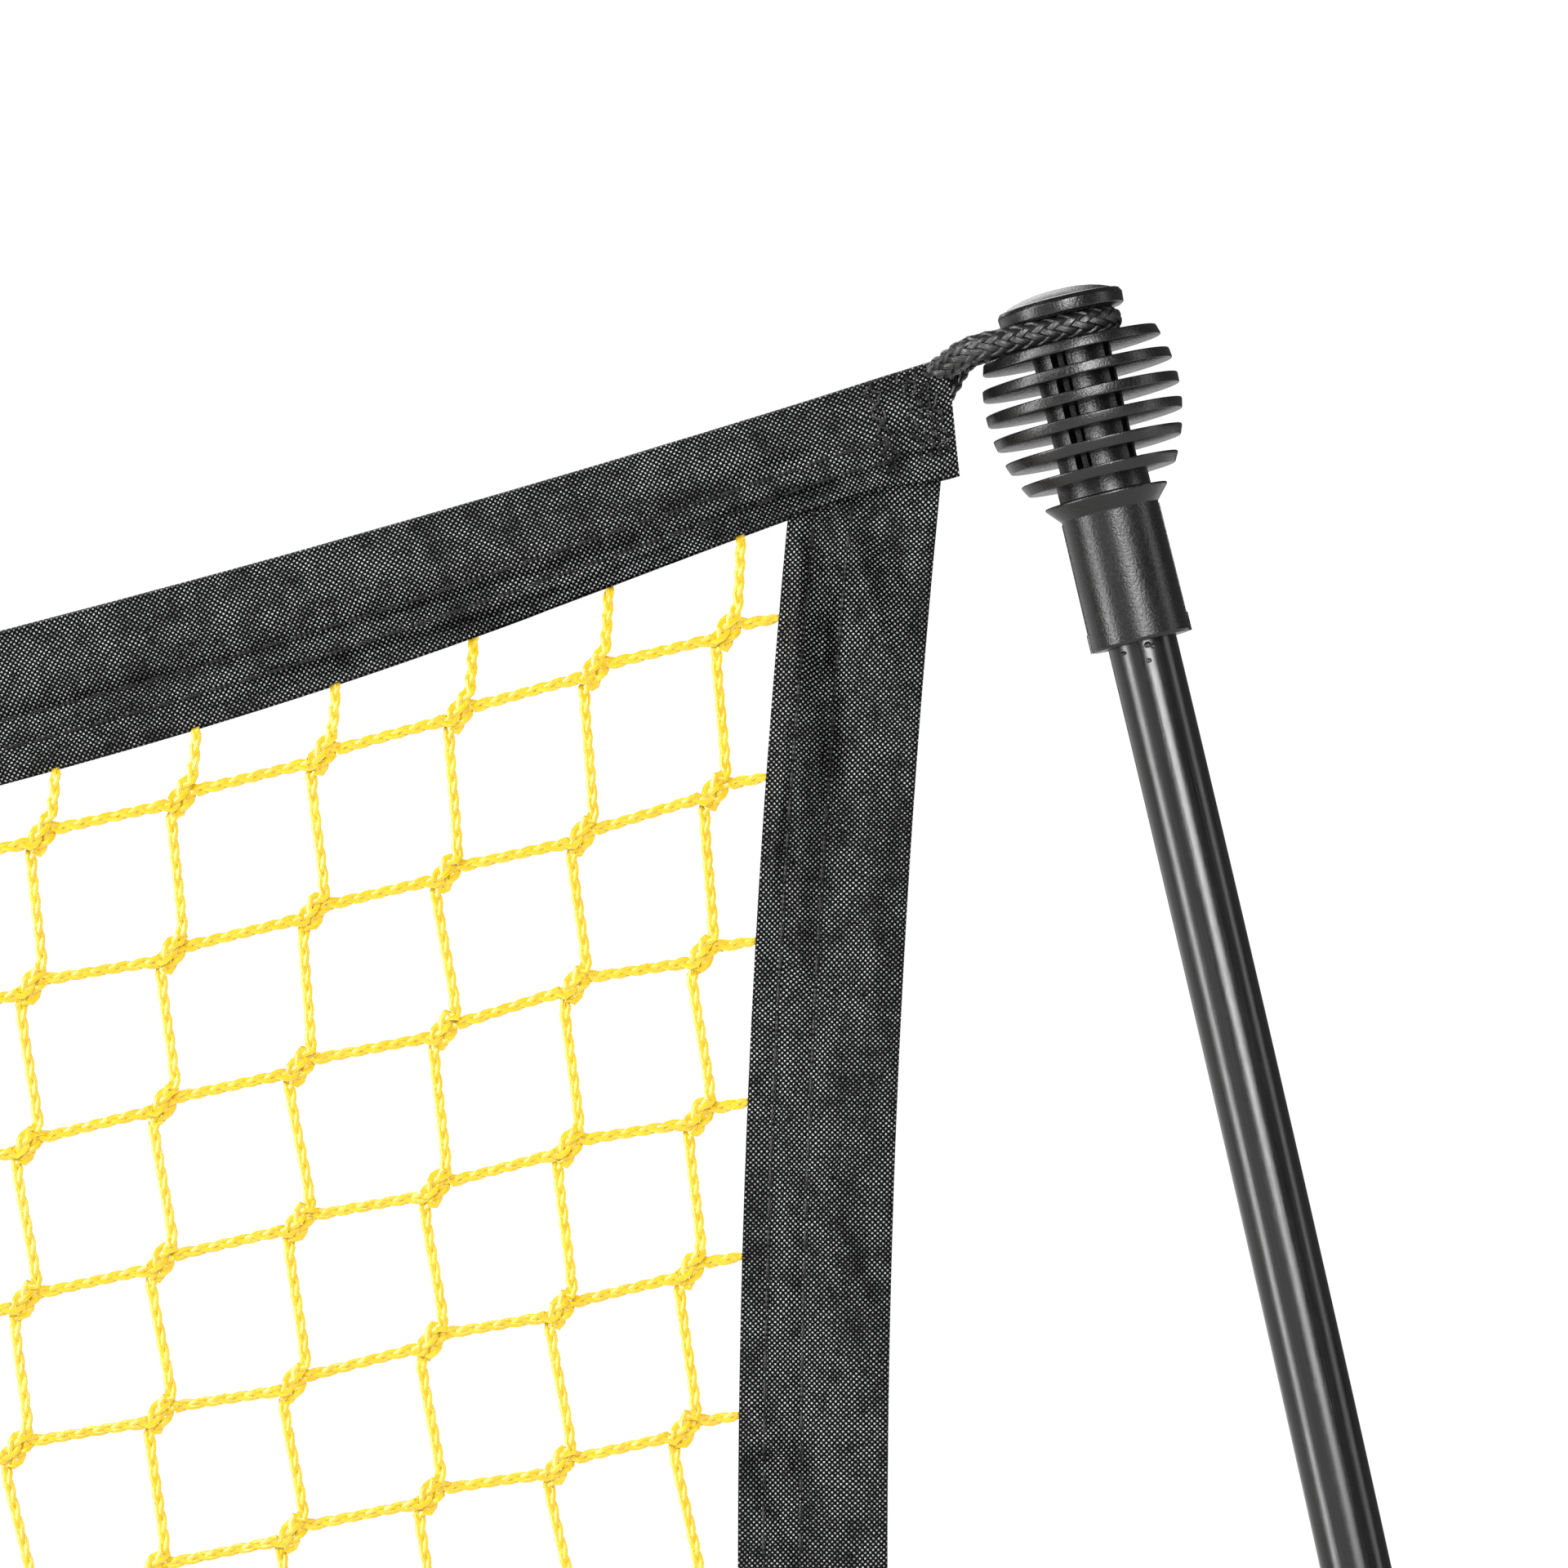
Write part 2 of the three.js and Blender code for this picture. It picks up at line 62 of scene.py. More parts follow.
# ---- Shapes: points, faces of four and three corners, and where each corner lies on the material ----
class Shape:
    def __init__(self, points, quads=(), tris=(), quad_uv=None, tri_uv=None):
        self.points = np.asarray(points, float).reshape(-1, 3)
        self.quads = np.asarray(quads, int).reshape(-1, 4)
        self.tris = np.asarray(tris, int).reshape(-1, 3)
        self.quad_uv = np.zeros((len(self.quads), 4, 2)) if quad_uv is None else quad_uv.reshape(-1, 4, 2)
        self.tri_uv = np.zeros((len(self.tris), 3, 2)) if tri_uv is None else tri_uv.reshape(-1, 3, 2)

    def moved(self, matrix):
        """The shape after a 3x3 or 4x4 matrix; a mirroring one turns its faces round."""
        matrix = np.asarray(matrix, float)
        points = self.points @ matrix[:3, :3].T
        if matrix.shape == (4, 4):
            points = points + matrix[:3, 3]
        faces = (self.quads, self.tris, self.quad_uv, self.tri_uv)
        if np.linalg.det(matrix[:3, :3]) < 0:
            faces = (f[:, ::-1] for f in faces)
        return Shape(points, *faces)


def joined(shapes):
    shapes = list(shapes)
    starts = np.cumsum([0] + [len(s.points) for s in shapes])
    return Shape(
        np.concatenate([s.points for s in shapes]),
        np.concatenate([s.quads + k for s, k in zip(shapes, starts)]),
        np.concatenate([s.tris + k for s, k in zip(shapes, starts)]),
        np.concatenate([s.quad_uv for s in shapes]),
        np.concatenate([s.tri_uv for s in shapes]),
    )


MIRROR = np.diag([-1.0, 1.0, 1.0])
SHARP = math.radians(38)  # an edge bent by more than this is shaded as a sharp one


def on_side(shape, sign):
    """A shape made for the right side, or its mirror image for the left."""
    return shape if sign > 0 else shape.moved(MIRROR)


def linked(name, data):
    """A new object in the scene."""
    obj = bpy.data.objects.new(name, data)
    bpy.context.scene.collection.objects.link(obj)
    return obj


def make(name, shape, material, node=None, body=NET):
    """A Blender mesh of a shape, riding on a CAD body in place of a CAD node."""
    mesh = bpy.data.meshes.new(name)
    corners = np.concatenate([shape.quads.ravel(), shape.tris.ravel()])
    fours, threes = 4 * np.arange(len(shape.quads)), 3 * np.arange(len(shape.tris))
    starts = np.concatenate([fours, shape.quads.size + threes])
    mesh.vertices.add(len(shape.points))
    mesh.vertices.foreach_set("co", (shape.points * MM).astype(np.float32).ravel())
    mesh.loops.add(len(corners))
    mesh.loops.foreach_set("vertex_index", corners.astype(np.int32))
    mesh.polygons.add(len(starts))
    mesh.polygons.foreach_set("loop_start", starts.astype(np.int32))
    mesh.polygons.foreach_set("use_smooth", np.ones(len(starts), bool))
    mesh.update(calc_edges=True)
    places = np.concatenate([shape.quad_uv.reshape(-1, 2), shape.tri_uv.reshape(-1, 2)])
    mesh.uv_layers.new(name="run").data.foreach_set("uv", places.astype(np.float32).ravel())
    mesh.set_sharp_from_angle(angle=SHARP)
    mesh.materials.append(material)
    obj = linked(name, mesh)
    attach(obj, body)
    if node:
        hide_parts(node)
    return obj


# ---- Ways to make a shape ----
def unit(vectors):
    return vectors / np.maximum(np.linalg.norm(vectors, axis=-1, keepdims=True), 1e-12)


def lengths_along(path):
    return np.concatenate([[0], np.cumsum(np.linalg.norm(np.diff(path, axis=0), axis=1))])


def evenly(path, step):
    """The path again, with its points about step apart."""
    along = lengths_along(path)
    at = np.linspace(0, along[-1], max(2, round(along[-1] / step) + 1))
    return np.stack([np.interp(at, along, path[:, k]) for k in range(3)], axis=1)


def smooth(points, step):
    """An even path on a smooth curve through the points."""
    points = np.asarray(points, float)
    before, after = 2 * points[0] - points[1], 2 * points[-1] - points[-2]
    padded = np.vstack([before, points, after])
    t = np.linspace(0, 1, 24, endpoint=False)[:, None]
    pieces = []
    for a, b, c, d in zip(padded, padded[1:], padded[2:], padded[3:]):
        pieces.append(
            0.5 * (2 * b + (c - a) * t + (2 * a - 5 * b + 4 * c - d) * t**2 + (3 * b - a - 3 * c + d) * t**3)
        )
    return evenly(np.vstack([*pieces, points[-1:]]), step)


def frames_along(path, start=FRONT):
    """Two directions square to the path at each point, which turn no more than the path does."""
    tangent = unit(np.gradient(path, axis=0))
    normal = np.empty_like(path)
    now = np.asarray(start, float)
    for i, t in enumerate(tangent):
        now = unit(now - now.dot(t) * t)
        normal[i] = now
    return normal, np.cross(tangent, normal)


def ring(radius, sides, flat=1.0):
    a = np.linspace(0, 2 * math.pi, sides, endpoint=False)
    return np.stack([radius * np.cos(a), radius * flat * np.sin(a)], axis=1)


def wall(lower_rings, count, sides, along, girth):
    """Faces from each lower ring of points up to the next one, and their places along and round the shape."""
    i, j = np.meshgrid(lower_rings, np.arange(sides), indexing="ij")
    nxt, up = (j + 1) % sides, (i + 1) % count
    quads = np.stack([i * sides + j, i * sides + nxt, up * sides + nxt, up * sides + j], axis=-1)
    corners = ((i, j), (i, j + 1), (i + 1, j + 1), (i + 1, j))
    return quads.reshape(-1, 4), np.stack([np.stack([along[a], girth[b]], -1) for a, b in corners], axis=-2)


def sweep(path, normal, binormal, section):
    """A closed solid: the section, one for all points or one for each, carried along the path."""
    section = np.broadcast_to(section, (len(path), *np.shape(section)[-2:]))
    n, m = section.shape[:2]
    points = path[:, None] + section[..., :1] * normal[:, None] + section[..., 1:] * binormal[:, None]
    round_it = lengths_along(np.hstack([section[0], np.zeros((m, 1))])[[*range(m), 0]])
    quads, uv = wall(np.arange(n - 1), n, m, lengths_along(path), round_it)
    j, nxt = np.arange(m), (np.arange(m) + 1) % m
    first = np.stack([np.full(m, n * m), nxt, j], 1)
    last = np.stack([np.full(m, n * m + 1), (n - 1) * m + j, (n - 1) * m + nxt], 1)
    ends = [points[0].mean(0), points[-1].mean(0)]
    return Shape(np.vstack([points.reshape(-1, 3), ends]), quads, np.vstack([first, last]), uv)


def tube(path, radius, sides=32):
    return sweep(path, *frames_along(path), ring(radius, sides))


def filleted(profile, radius, steps=3, closed=False):
    """The profile with each corner rounded, less where its sides are short."""
    profile = [np.asarray(p, float) for p in profile]
    count = len(profile)
    out = []
    for i, p in enumerate(profile):
        if not closed and i in (0, count - 1):
            out.append(p)
            continue
        a, b = profile[i - 1] - p, profile[(i + 1) % count] - p
        la, lb = np.linalg.norm(a), np.linalg.norm(b)
        a, b = a / la, b / lb
        half = math.acos(max(-1.0, min(1.0, a.dot(b)))) / 2
        if half > math.radians(84):
            out.append(p)
            continue
        back = min(radius / math.tan(half), 0.45 * la, 0.45 * lb)
        for t in np.linspace(0, 1, steps + 1):
            out.append((1 - t) ** 2 * (p + a * back) + 2 * t * (1 - t) * p + t**2 * (p + b * back))
    return np.array(out)


def turned(profile, sides=64, closed=False):
    """A turned solid about Z. Its profile runs up its outside, from axis to axis or closed on itself."""
    profile = np.asarray(profile, float)
    n = len(profile)
    a = np.linspace(0, 2 * math.pi, sides, endpoint=False)
    radius, height = profile[:, :1], profile[:, 1:]
    rings = np.stack([radius * np.cos(a), radius * np.sin(a), np.repeat(height, sides, axis=1)], axis=-1)
    up_length = lengths_along(np.hstack([profile, np.zeros((n, 1))]))
    up_length = np.append(up_length, up_length[-1] + 1)
    girth = profile[:, 0].max() * 2 * math.pi / sides
    lower_rings = np.arange(n) if closed else np.arange(1, n - 2)
    quads, uv = wall(lower_rings, n, sides, up_length, girth * np.arange(sides + 1))
    points = rings.reshape(-1, 3)
    if closed:
        return Shape(points, quads, (), uv)
    j, nxt = np.arange(sides), (np.arange(sides) + 1) % sides
    bottom, top = len(points), len(points) + 1
    low_end = np.stack([np.full(sides, bottom), sides + nxt, sides + j], 1)
    high_end = np.stack([np.full(sides, top), (n - 2) * sides + j, (n - 2) * sides + nxt], 1)
    points = np.vstack([points, [0, 0, profile[0, 1]], [0, 0, profile[-1, 1]]])
    return compact(Shape(points, quads, np.vstack([low_end, high_end]), uv))


def compact(shape):
    """The shape without points that no face uses."""
    used, place = np.unique(np.concatenate([shape.quads.ravel(), shape.tris.ravel()]), return_inverse=True)
    quads, tris = np.split(place, [shape.quads.size])
    return Shape(shape.points[used], quads, tris, shape.quad_uv, shape.tri_uv)


def level_axes(count):
    """X and Y, as the two directions of a sweep that goes straight up."""
    return np.tile([1.0, 0, 0], (count, 1)), np.tile([0, 1.0, 0], (count, 1))


def prism(outline, low, high):
    """A solid with an outline that its middle can see all of, from z = low to z = high."""
    outline = np.asarray(outline, float)
    path = np.array([[0, 0, low], [0, 0, high]], float)
    return sweep(path, *level_axes(2), outline)


def pipe(outer, inner, low, high, round_by=0.4, sides=56):
    """A tube about Z, with its edges rounded."""
    profile = [(inner, low), (outer, low), (outer, high), (inner, high)]
    return turned(filleted(profile, round_by, 3, True), sides, closed=True)


def along_x(shape):
    """A shape that was made along Z, turned to lie along X."""
    return shape.moved([[0, 0, 1], [0, 1, 0], [-1, 0, 0]])


def shifted(shape, x=0.0, y=0.0, z=0.0):
    matrix = np.eye(4)
    matrix[:3, 3] = (x, y, z)
    return shape.moved(matrix)


# ---- Where the CAD says things are ----
def solid_points(node):
    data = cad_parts[node].data
    co = np.empty(3 * len(data.vertices), np.float32)
    data.vertices.foreach_get("co", co)
    return co.reshape(-1, 3).astype(float) / MM


def edge_of(node, along, across, side):
    """The parabola that a tape's outer edge follows. along and across are axes; side is 1 for its top."""
    points = solid_points(node)
    u, w = points[:, along], side * points[:, across]
    fit = np.polyfit(u, w, 2)
    for _ in range(14):
        keep = w >= np.polyval(fit, u) - 0.02
        fit = np.polyfit(u[keep], w[keep], 2)
    return np.poly1d(side * fit)


def frame_on(axis, origin):
    """The 4x4 frame whose Z points along an axis, and whose X points away from the net."""
    across = unit(np.cross([0, 1.0, 0], axis))
    made = np.eye(4)
    made[:3, :3] = np.stack([across, np.cross(axis, across), axis], axis=1)
    made[:3, 3] = origin
    return made


def standing_frame(node):
    """The frame of a turned CAD node, with its origin at the node's middle, and the node's height."""
    unique = np.unique(solid_points(node).round(2), axis=0)
    axis = np.linalg.svd(unique - unique.mean(0), full_matrices=False)[2][0]
    axis *= np.sign(axis[2])
    along = unique @ axis
    centre = unique.mean(0)
    made = frame_on(axis, centre + axis * ((along.max() + along.min()) / 2 - centre @ axis))
    return made, float(along.max() - along.min())


TOP_EDGE = edge_of("top_tape", 0, 2, 1)
BOTTOM_EDGE = edge_of("bottom_tape", 0, 2, -1)
SIDE_EDGE = edge_of("side_tape_right", 2, 0, 1)
TOP_HALF = solid_points("top_tape")[:, 0].max()
BOTTOM_HALF = solid_points("bottom_tape")[:, 0].max()

rod_points = np.vstack([solid_points("pole_upper_right"), solid_points("pole_lower_right")])
ROD_LOW, ROD_HIGH = rod_points[:, 2].min(), rod_points[:, 2].max()
ROD_MIDDLE = 450  # heights are fitted as shares of the way from here to the rod's ends
ROD_FIT = np.poly1d(np.polyfit((rod_points[:, 2] - ROD_MIDDLE) / ROD_MIDDLE, rod_points[:, 0], 7))


def rod_x(z):
    """How far out the right pole's centreline is at a height."""
    return ROD_FIT((z - ROD_MIDDLE) / ROD_MIDDLE)


def rod_path(low, high, step=6.0):
    """The right pole's centreline between two heights, from the top down."""
    z = np.linspace(high, low, max(2, round((high - low) / step)))
    return np.stack([rod_x(z), 0 * z, z], axis=1)


HEAD, HEAD_TALL = standing_frame("pole_head_right")
BUTTON_TOP = 2.6  # the dome's height above the middle of the button's rim
TIP = HEAD[:3, 3] + HEAD[:3, 2] * (HEAD_TALL / 2 - BUTTON_TOP)
HEAD[:3, 3] = TIP


# ---- Camera ----
def add_camera():
    data = bpy.data.cameras.new("camera")
    data.sensor_width = 36
    data.lens = 36 * VIEW["distance"] / VIEW["width"]
    data.clip_start, data.clip_end = 0.05, 60
    obj = linked("camera", data)
    rise = math.radians(VIEW["rise"])
    target = Vector((TIP[0] + VIEW["beside_tip"], 0, TIP[2] - VIEW["below_tip"])) * MM
    back = Vector((0, -math.cos(rise), math.sin(rise)))
    obj.location = target + back * VIEW["distance"] * MM
    obj.rotation_euler = back.to_track_quat("Z", "Y").to_euler()
    bpy.context.scene.camera = obj


add_camera()


# ---- Materials ----
class Paint:
    """A material and short ways to add nodes to it."""

    def __init__(self, name, **inputs):
        self.material = bpy.data.materials.new(name)
        self.material.use_nodes = True
        self.nodes, self.links = self.material.node_tree.nodes, self.material.node_tree.links
        self.shader = self.nodes["Principled BSDF"]
        self.wear(**inputs)

    def node(self, kind, inputs=(), out=0, **settings):
        made = self.nodes.new(kind)
        for key, value in settings.items():
            setattr(made, key, value)
        for key, value in dict(inputs).items():
            self.set(made.inputs[key], value)
        return made.outputs[out]

    def set(self, socket, value):
        if isinstance(value, bpy.types.NodeSocket):
            self.links.new(value, socket)
        else:
            socket.default_value = value

    def math(self, operation, a, b=0.0):
        return self.node("ShaderNodeMath", {0: a, 1: b}, operation=operation)

    def place(self):
        return self.node("ShaderNodeTexCoord", out="Object")

    def run(self):
        """Millimetres along and across a piece."""
        return self.node("ShaderNodeUVMap", uv_map="run")

    def scaled(self, vector, scale):
        return self.node("ShaderNodeMapping", {"Vector": vector, "Scale": scale})

    def noise(self, vector, scale, detail=2.0, roughness=0.5):
        return self.node(
            "ShaderNodeTexNoise", {"Vector": vector, "Scale": scale, "Detail": detail, "Roughness": roughness}
        )

    def ranged(self, value, low, high, to_low, to_high):
        return self.node("ShaderNodeMapRange", {0: value, 1: low, 2: high, 3: to_low, 4: to_high})

    def mixed(self, factor, a, b):
        made = self.nodes.new("ShaderNodeMix")
        made.data_type = "RGBA"
        for socket, value in ((made.inputs[0], factor), (made.inputs[6], a), (made.inputs[7], b)):
            self.set(socket, value)
        return made.outputs[2]

    def bump(self, height, distance, strength):
        return self.node("ShaderNodeBump", {"Height": height, "Distance": distance, "Strength": strength})

    def wear(self, **inputs):
        """Sets the shader's inputs and gives the material."""
        for key, value in inputs.items():
            self.set(self.shader.inputs[key.replace("_", " ").title().replace("Ior", "IOR")], value)
        return self.material


def grey(level, warm=0.0):
    return (level * (1 + warm), level, level * (1 - warm), 1.0)


def moulded_plastic(name, level, roughness, grain, depth=0.00005):
    """Black plastic from a spark-eroded mould: a fine grain, with slight blotches of gloss."""
    p = Paint(name, specular_ior_level=0.55)
    place = p.place()
    fine = p.noise(place, grain, 2.0, 0.6)
    blotch = p.noise(place, 90.0, 2.0)
    blotch = p.ranged(blotch, 0.3, 0.7, roughness - 0.04, roughness + 0.05)
    gloss = p.math("ADD", p.ranged(fine, 0.3, 0.7, -0.06, 0.06), blotch)
    color = p.mixed(fine, grey(level * 0.7), grey(level * 1.5, 0.01))
    return p.wear(base_color=color, roughness=gloss, normal=p.bump(fine, depth, 0.85))


def pultruded_rod(name):
    """Black glass-fibre rod: fine fibres show lengthwise as streaks in its colour and its gloss."""
    p = Paint(name, specular_ior_level=0.6)
    run = p.run()
    fibres = p.noise(p.scaled(run, (0.035, 5.5, 1.0)), 1.0, 5.0, 0.7)
    broad = p.noise(p.scaled(run, (0.012, 0.8, 1.0)), 1.0, 2.0)
    scuff = p.noise(p.scaled(run, (0.5, 0.9, 1.0)), 1.0, 4.0, 0.7)
    color = p.mixed(p.ranged(fibres, 0.42, 0.72, 0.0, 1.0), grey(0.003), grey(0.016))
    gloss = p.math("ADD", p.ranged(fibres, 0.3, 0.7, 0.13, 0.24), p.ranged(scuff, 0.4, 0.7, 0.0, 0.06))
    height = p.math("ADD", fibres, broad)
    return p.wear(base_color=color, roughness=gloss, normal=p.bump(height, 0.000025, 0.5))


THREAD_PITCH = 0.37  # between the tape's threads, in millimetres


def woven_tape(name):
    """Plain-woven black polyester. The glints where the cross threads lie on top are painted into its colour
    as rows of grey dashes, and patches of painted shade stand in for the light and dark of its wrinkles.
    """
    p = Paint(name)
    threads = math.pi / THREAD_PITCH
    run = p.run()
    wander = p.node("ShaderNodeTexNoise", {"Vector": run, "Scale": 0.11, "Detail": 1.0}, out=1)
    wander = p.node("ShaderNodeVectorMath", {0: wander, 1: (0.9, 0.9, 0.0)}, operation="MULTIPLY")
    place = p.node("ShaderNodeVectorMath", {0: run, 1: wander}, operation="ADD")
    split = p.nodes.new("ShaderNodeSeparateXYZ")
    p.links.new(place, split.inputs[0])
    along = p.math("SINE", p.math("MULTIPLY", split.outputs[0], threads))
    across = p.math("SINE", p.math("MULTIPLY", split.outputs[1], threads))
    over = p.math("MULTIPLY", along, across)
    # Uneven breaks in the painted glints along the threads.
    glint_fray = p.noise(p.scaled(run, (2.2, 3.4, 1.0)), 1.0, 3.0, 0.7)
    # Painted shade: noise patches that brighten and darken the painted glints, standing in for the light and
    # dark of small wrinkles.
    shade = p.noise(run, 0.3, 3.0, 0.6)
    # Where the painted glint lies: on the crowns of the cross threads.
    weft_glint = p.math("MULTIPLY", p.ranged(over, 0.22, 0.78, 0.0, 1.0), p.ranged(glint_fray, 0.35, 0.65, 0.0, 1.5))
    weft_glint = p.math("MULTIPLY", weft_glint, p.ranged(shade, 0.32, 0.68, 0.35, 1.5))
    # Broader patches of painted shade over the painted glints.
    broad = p.noise(p.scaled(run, (0.04, 0.11, 1.0)), 1.0, 2.0)
    weft_glint = p.math("MULTIPLY", weft_glint, p.ranged(broad, 0.35, 0.65, 0.6, 1.3))
    # The grey is a painted glint on near-black cloth; the same mask also raises the real specular level and
    # gloss there.
    color = p.mixed(p.math("MINIMUM", weft_glint, 1.0), grey(0.0008, -0.03), grey(0.37, -0.02))
    shine = p.ranged(weft_glint, 0.0, 1.0, 0.06, 0.7)
    gloss = p.ranged(weft_glint, 0.0, 1.0, 0.5, 0.34)
    bump = p.bump(p.math("ABSOLUTE", over), 0.00012, 0.9)
    return p.wear(base_color=color, roughness=gloss, specular_ior_level=shine, normal=bump)


def spun_yarn(name, dark, light, roughness, stretch=(0.35, 7.0, 1.0), depth=0.00006, **inputs):
    """A bundle of glossy filaments that run along the yarn."""
    p = Paint(name, **inputs)
    run = p.run()
    fibres = p.noise(p.scaled(run, stretch), 1.0, 4.0, 0.65)
    patches = p.noise(p.scaled(run, (0.4, 0.4, 1.0)), 1.0, 1.0)
    color = p.mixed(p.ranged(fibres, 0.38, 0.66, 0.0, 1.0), dark, light)
    gloss = p.ranged(fibres, 0.3, 0.7, roughness + 0.1, roughness - 0.1)
    gloss = p.math("ADD", gloss, p.ranged(patches, 0.3, 0.7, -0.05, 0.05))
    return p.wear(base_color=color, roughness=gloss, normal=p.bump(fibres, depth, 0.8))


def plated_steel(name):
    """Bright zinc plate: brushed one way, and clouded."""
    tint = (0.42, 0.42, 0.41, 1.0)
    p = Paint(name, metallic=1.0)
    place = p.place()
    brushed = p.noise(p.scaled(place, (600, 600, 60)), 1.0, 3.0)
    blotch = p.noise(place, 45.0, 3.0)
    dull = (tint[0] * 0.72, tint[1] * 0.72, tint[2] * 0.72, 1.0)
    return p.wear(
        base_color=p.mixed(blotch, dull, tint),
        roughness=p.ranged(brushed, 0.2, 0.8, 0.24, 0.46),
        normal=p.bump(brushed, 0.00002, 0.5),
    )


def powder_coat(name):
    """Black powder coat: a low orange peel, duller where hands and grass have rubbed it."""
    p = Paint(name, specular_ior_level=0.5)
    place = p.place()
    peel, rubbed = p.noise(place, 700.0, 2.0), p.noise(place, 22.0, 4.0, 0.6)
    return p.wear(
        base_color=p.mixed(p.ranged(rubbed, 0.45, 0.75, 0.0, 1.0), grey(0.011), grey(0.03, 0.03)),
        roughness=p.ranged(rubbed, 0.3, 0.75, 0.3, 0.52),
        normal=p.bump(peel, 0.00008, 0.5),
    )


def soft_rubber(name):
    """Black rubber with a grey bloom and fine pores."""
    p = Paint(name, specular_ior_level=0.35)
    place = p.place()
    bloom, pores = p.noise(place, 35.0, 4.0, 0.6), p.noise(place, 1500.0, 3.0)
    return p.wear(
        base_color=p.mixed(bloom, grey(0.014), grey(0.04, 0.02)),
        roughness=p.ranged(bloom, 0.3, 0.7, 0.68, 0.86),
        normal=p.bump(pores, 0.00006, 0.6),
    )


def clear_drop(name):
    """Dried adhesive: smooth and dark, as it lies on the black rod."""
    p = Paint(name, base_color=grey(0.02), roughness=0.05, specular_ior_level=0.7)
    return p.wear(roughness=p.ranged(p.noise(p.place(), 900.0), 0.0, 1.0, 0.02, 0.12))


HEAD_PLASTIC = moulded_plastic("head_plastic", 0.004, 0.27, grain=3000, depth=0.00006)
NYLON = moulded_plastic("base_nylon", 0.009, 0.45, grain=2200)
FIBREGLASS = pultruded_rod("fibreglass")
TAPE = woven_tape("woven_tape")
THREAD = spun_yarn(
    "sewing_thread", grey(0.002), grey(0.012), 0.45, stretch=(3.0, 5.0, 1.0), specular_ior_level=0.35
)
ROPE = spun_yarn("rope_yarn", grey(0.002), grey(0.02), 0.27, depth=0.0001, specular_ior_level=0.85)
NETTING = spun_yarn(
    "net_yarn", (0.6, 0.36, 0.002, 1.0), (0.66, 0.48, 0.02, 1.0), 0.24, stretch=(0.3, 5.0, 1.0),
    specular_ior_level=0.9, subsurface_weight=0.15, subsurface_scale=0.0008,
)
ZINC = plated_steel("zinc_plate")
COATED = powder_coat("powder_coat")
RUBBER = soft_rubber("soft_rubber")
ADHESIVE = clear_drop("dried_adhesive")


# ---- Pole heads ----
# Heights are from the tip, and half is half a fin's thickness. slot, lobe and rib are the core's radii, and
# rib_half is in degrees.
FINS = {"count": 6, "first": -5.84, "pitch": 3.48, "half": 0.78}
CORE = {"slot": 4.0, "lobe": 5.95, "rib": 5.6, "rib_half": 4.0}
# Curved faces of the core, as (middle, half width) in degrees round from the front; the back repeats them.
LOBES = ((17, 27.5), (-50, 17.5))
RIBS = (66, -20)


def fin_radius(z):
    """The fins' edges lie on a barrel, which is widest a little above its middle."""
    return 13.45 - 0.0242 * (z + 12.6) ** 2


def core_outline():
    """The slotted core's outline: wide curved faces and thin ribs, with deep slots between them."""
    faces = [(m + turn, h, CORE["lobe"]) for m, h in LOBES for turn in (0, 180)]
    faces += [(m + turn, CORE["rib_half"], CORE["rib"]) for m in RIBS for turn in (0, 180)]
    faces.sort(key=lambda f: f[0] % 360)
    points = []
    for i, (middle, half, radius) in enumerate(faces):
        for a in np.linspace(middle - half, middle + half, 9 if half > 10 else 3):
            points.append((a, radius))
        following = faces[(i + 1) % len(faces)]
        gap_from = middle + half
        gap_to = following[0] - following[1]
        while gap_to < gap_from:
            gap_to += 360
        points += [(a, CORE["slot"]) for a in np.linspace(gap_from + 0.6, gap_to - 0.6, 4)]
    return [(r * math.sin(math.radians(a)), -r * math.cos(math.radians(a))) for a, r in points]


def pole_head():
    """The moulded head, in its own frame: Z up the pole, and the middle of the button's rim at the origin."""
    button = filleted(
        [(0, -1.3), (8.2, -1.3), (8.6, -1.0), (8.7, 0.45), (8.35, 1.05), (7.5, 1.25), (7.2, 1.4)], 0.35
    ).tolist() + [(6.2, 1.8), (5.0, 2.14), (3.4, 2.42), (1.7, 2.56), (0, 2.6)]
    stem = [(0, -6), (4.0, -6), (4.0, -0.9), (0, -0.9)]
    shapes = [turned(button, 96), turned(stem, 40)]
    tops = [FINS["first"] - FINS["pitch"] * i for i in range(FINS["count"])]
    for z in tops:
        low, high = z - FINS["half"], z + FINS["half"]
        corners = [(3.6, low), (fin_radius(low) - 0.05, low), (fin_radius(high), high), (3.6, high)]
        shapes.append(turned(filleted(corners, 0.28, 4, True), 112, closed=True))
    shapes.append(prism(core_outline(), tops[-1] - 0.3, tops[0] + 0.3))
    lowest = tops[-1] - FINS["half"]
    socket = [
        (5.05, -46.8), (6.65, -46.8), (6.85, -46.4), (6.72, -28.7), (6.75, -28.5), (8.5, -26.55),
        (8.5, -26.25), (6.35, -26.1), (6.35, lowest + 0.2), (5.05, lowest + 0.2),
    ]
    shapes.append(turned(filleted(socket, 0.18, 3, True), 96, closed=True))
    return joined(shapes + parting_lines())


def parting_lines():
    """The thin ridges and the little step that the two halves of the mould leave on the socket's sides."""
    ridges = []
    for a in (0, math.pi):
        out, side = np.array([math.cos(a), math.sin(a), 0]), np.array([-math.sin(a), math.cos(a), 0])
        z = np.linspace(-46.3, -28.8, 12)
        radius = 6.84 - 0.12 * (z + 46.4) / 17.7
        ridge = out * radius[:, None] + np.stack([0 * z, 0 * z, z], axis=1)
        step = np.array([[0, 0, -46.75], [0, 0, -44.2]]) + out * 6.78
        for path, section in ((ridge, ring(0.11, 6)), (step, ring(0.3, 8, 1.6))):
            ridges.append(sweep(path, *(np.tile(d, (len(path), 1)) for d in (out, side)), section))
    return ridges


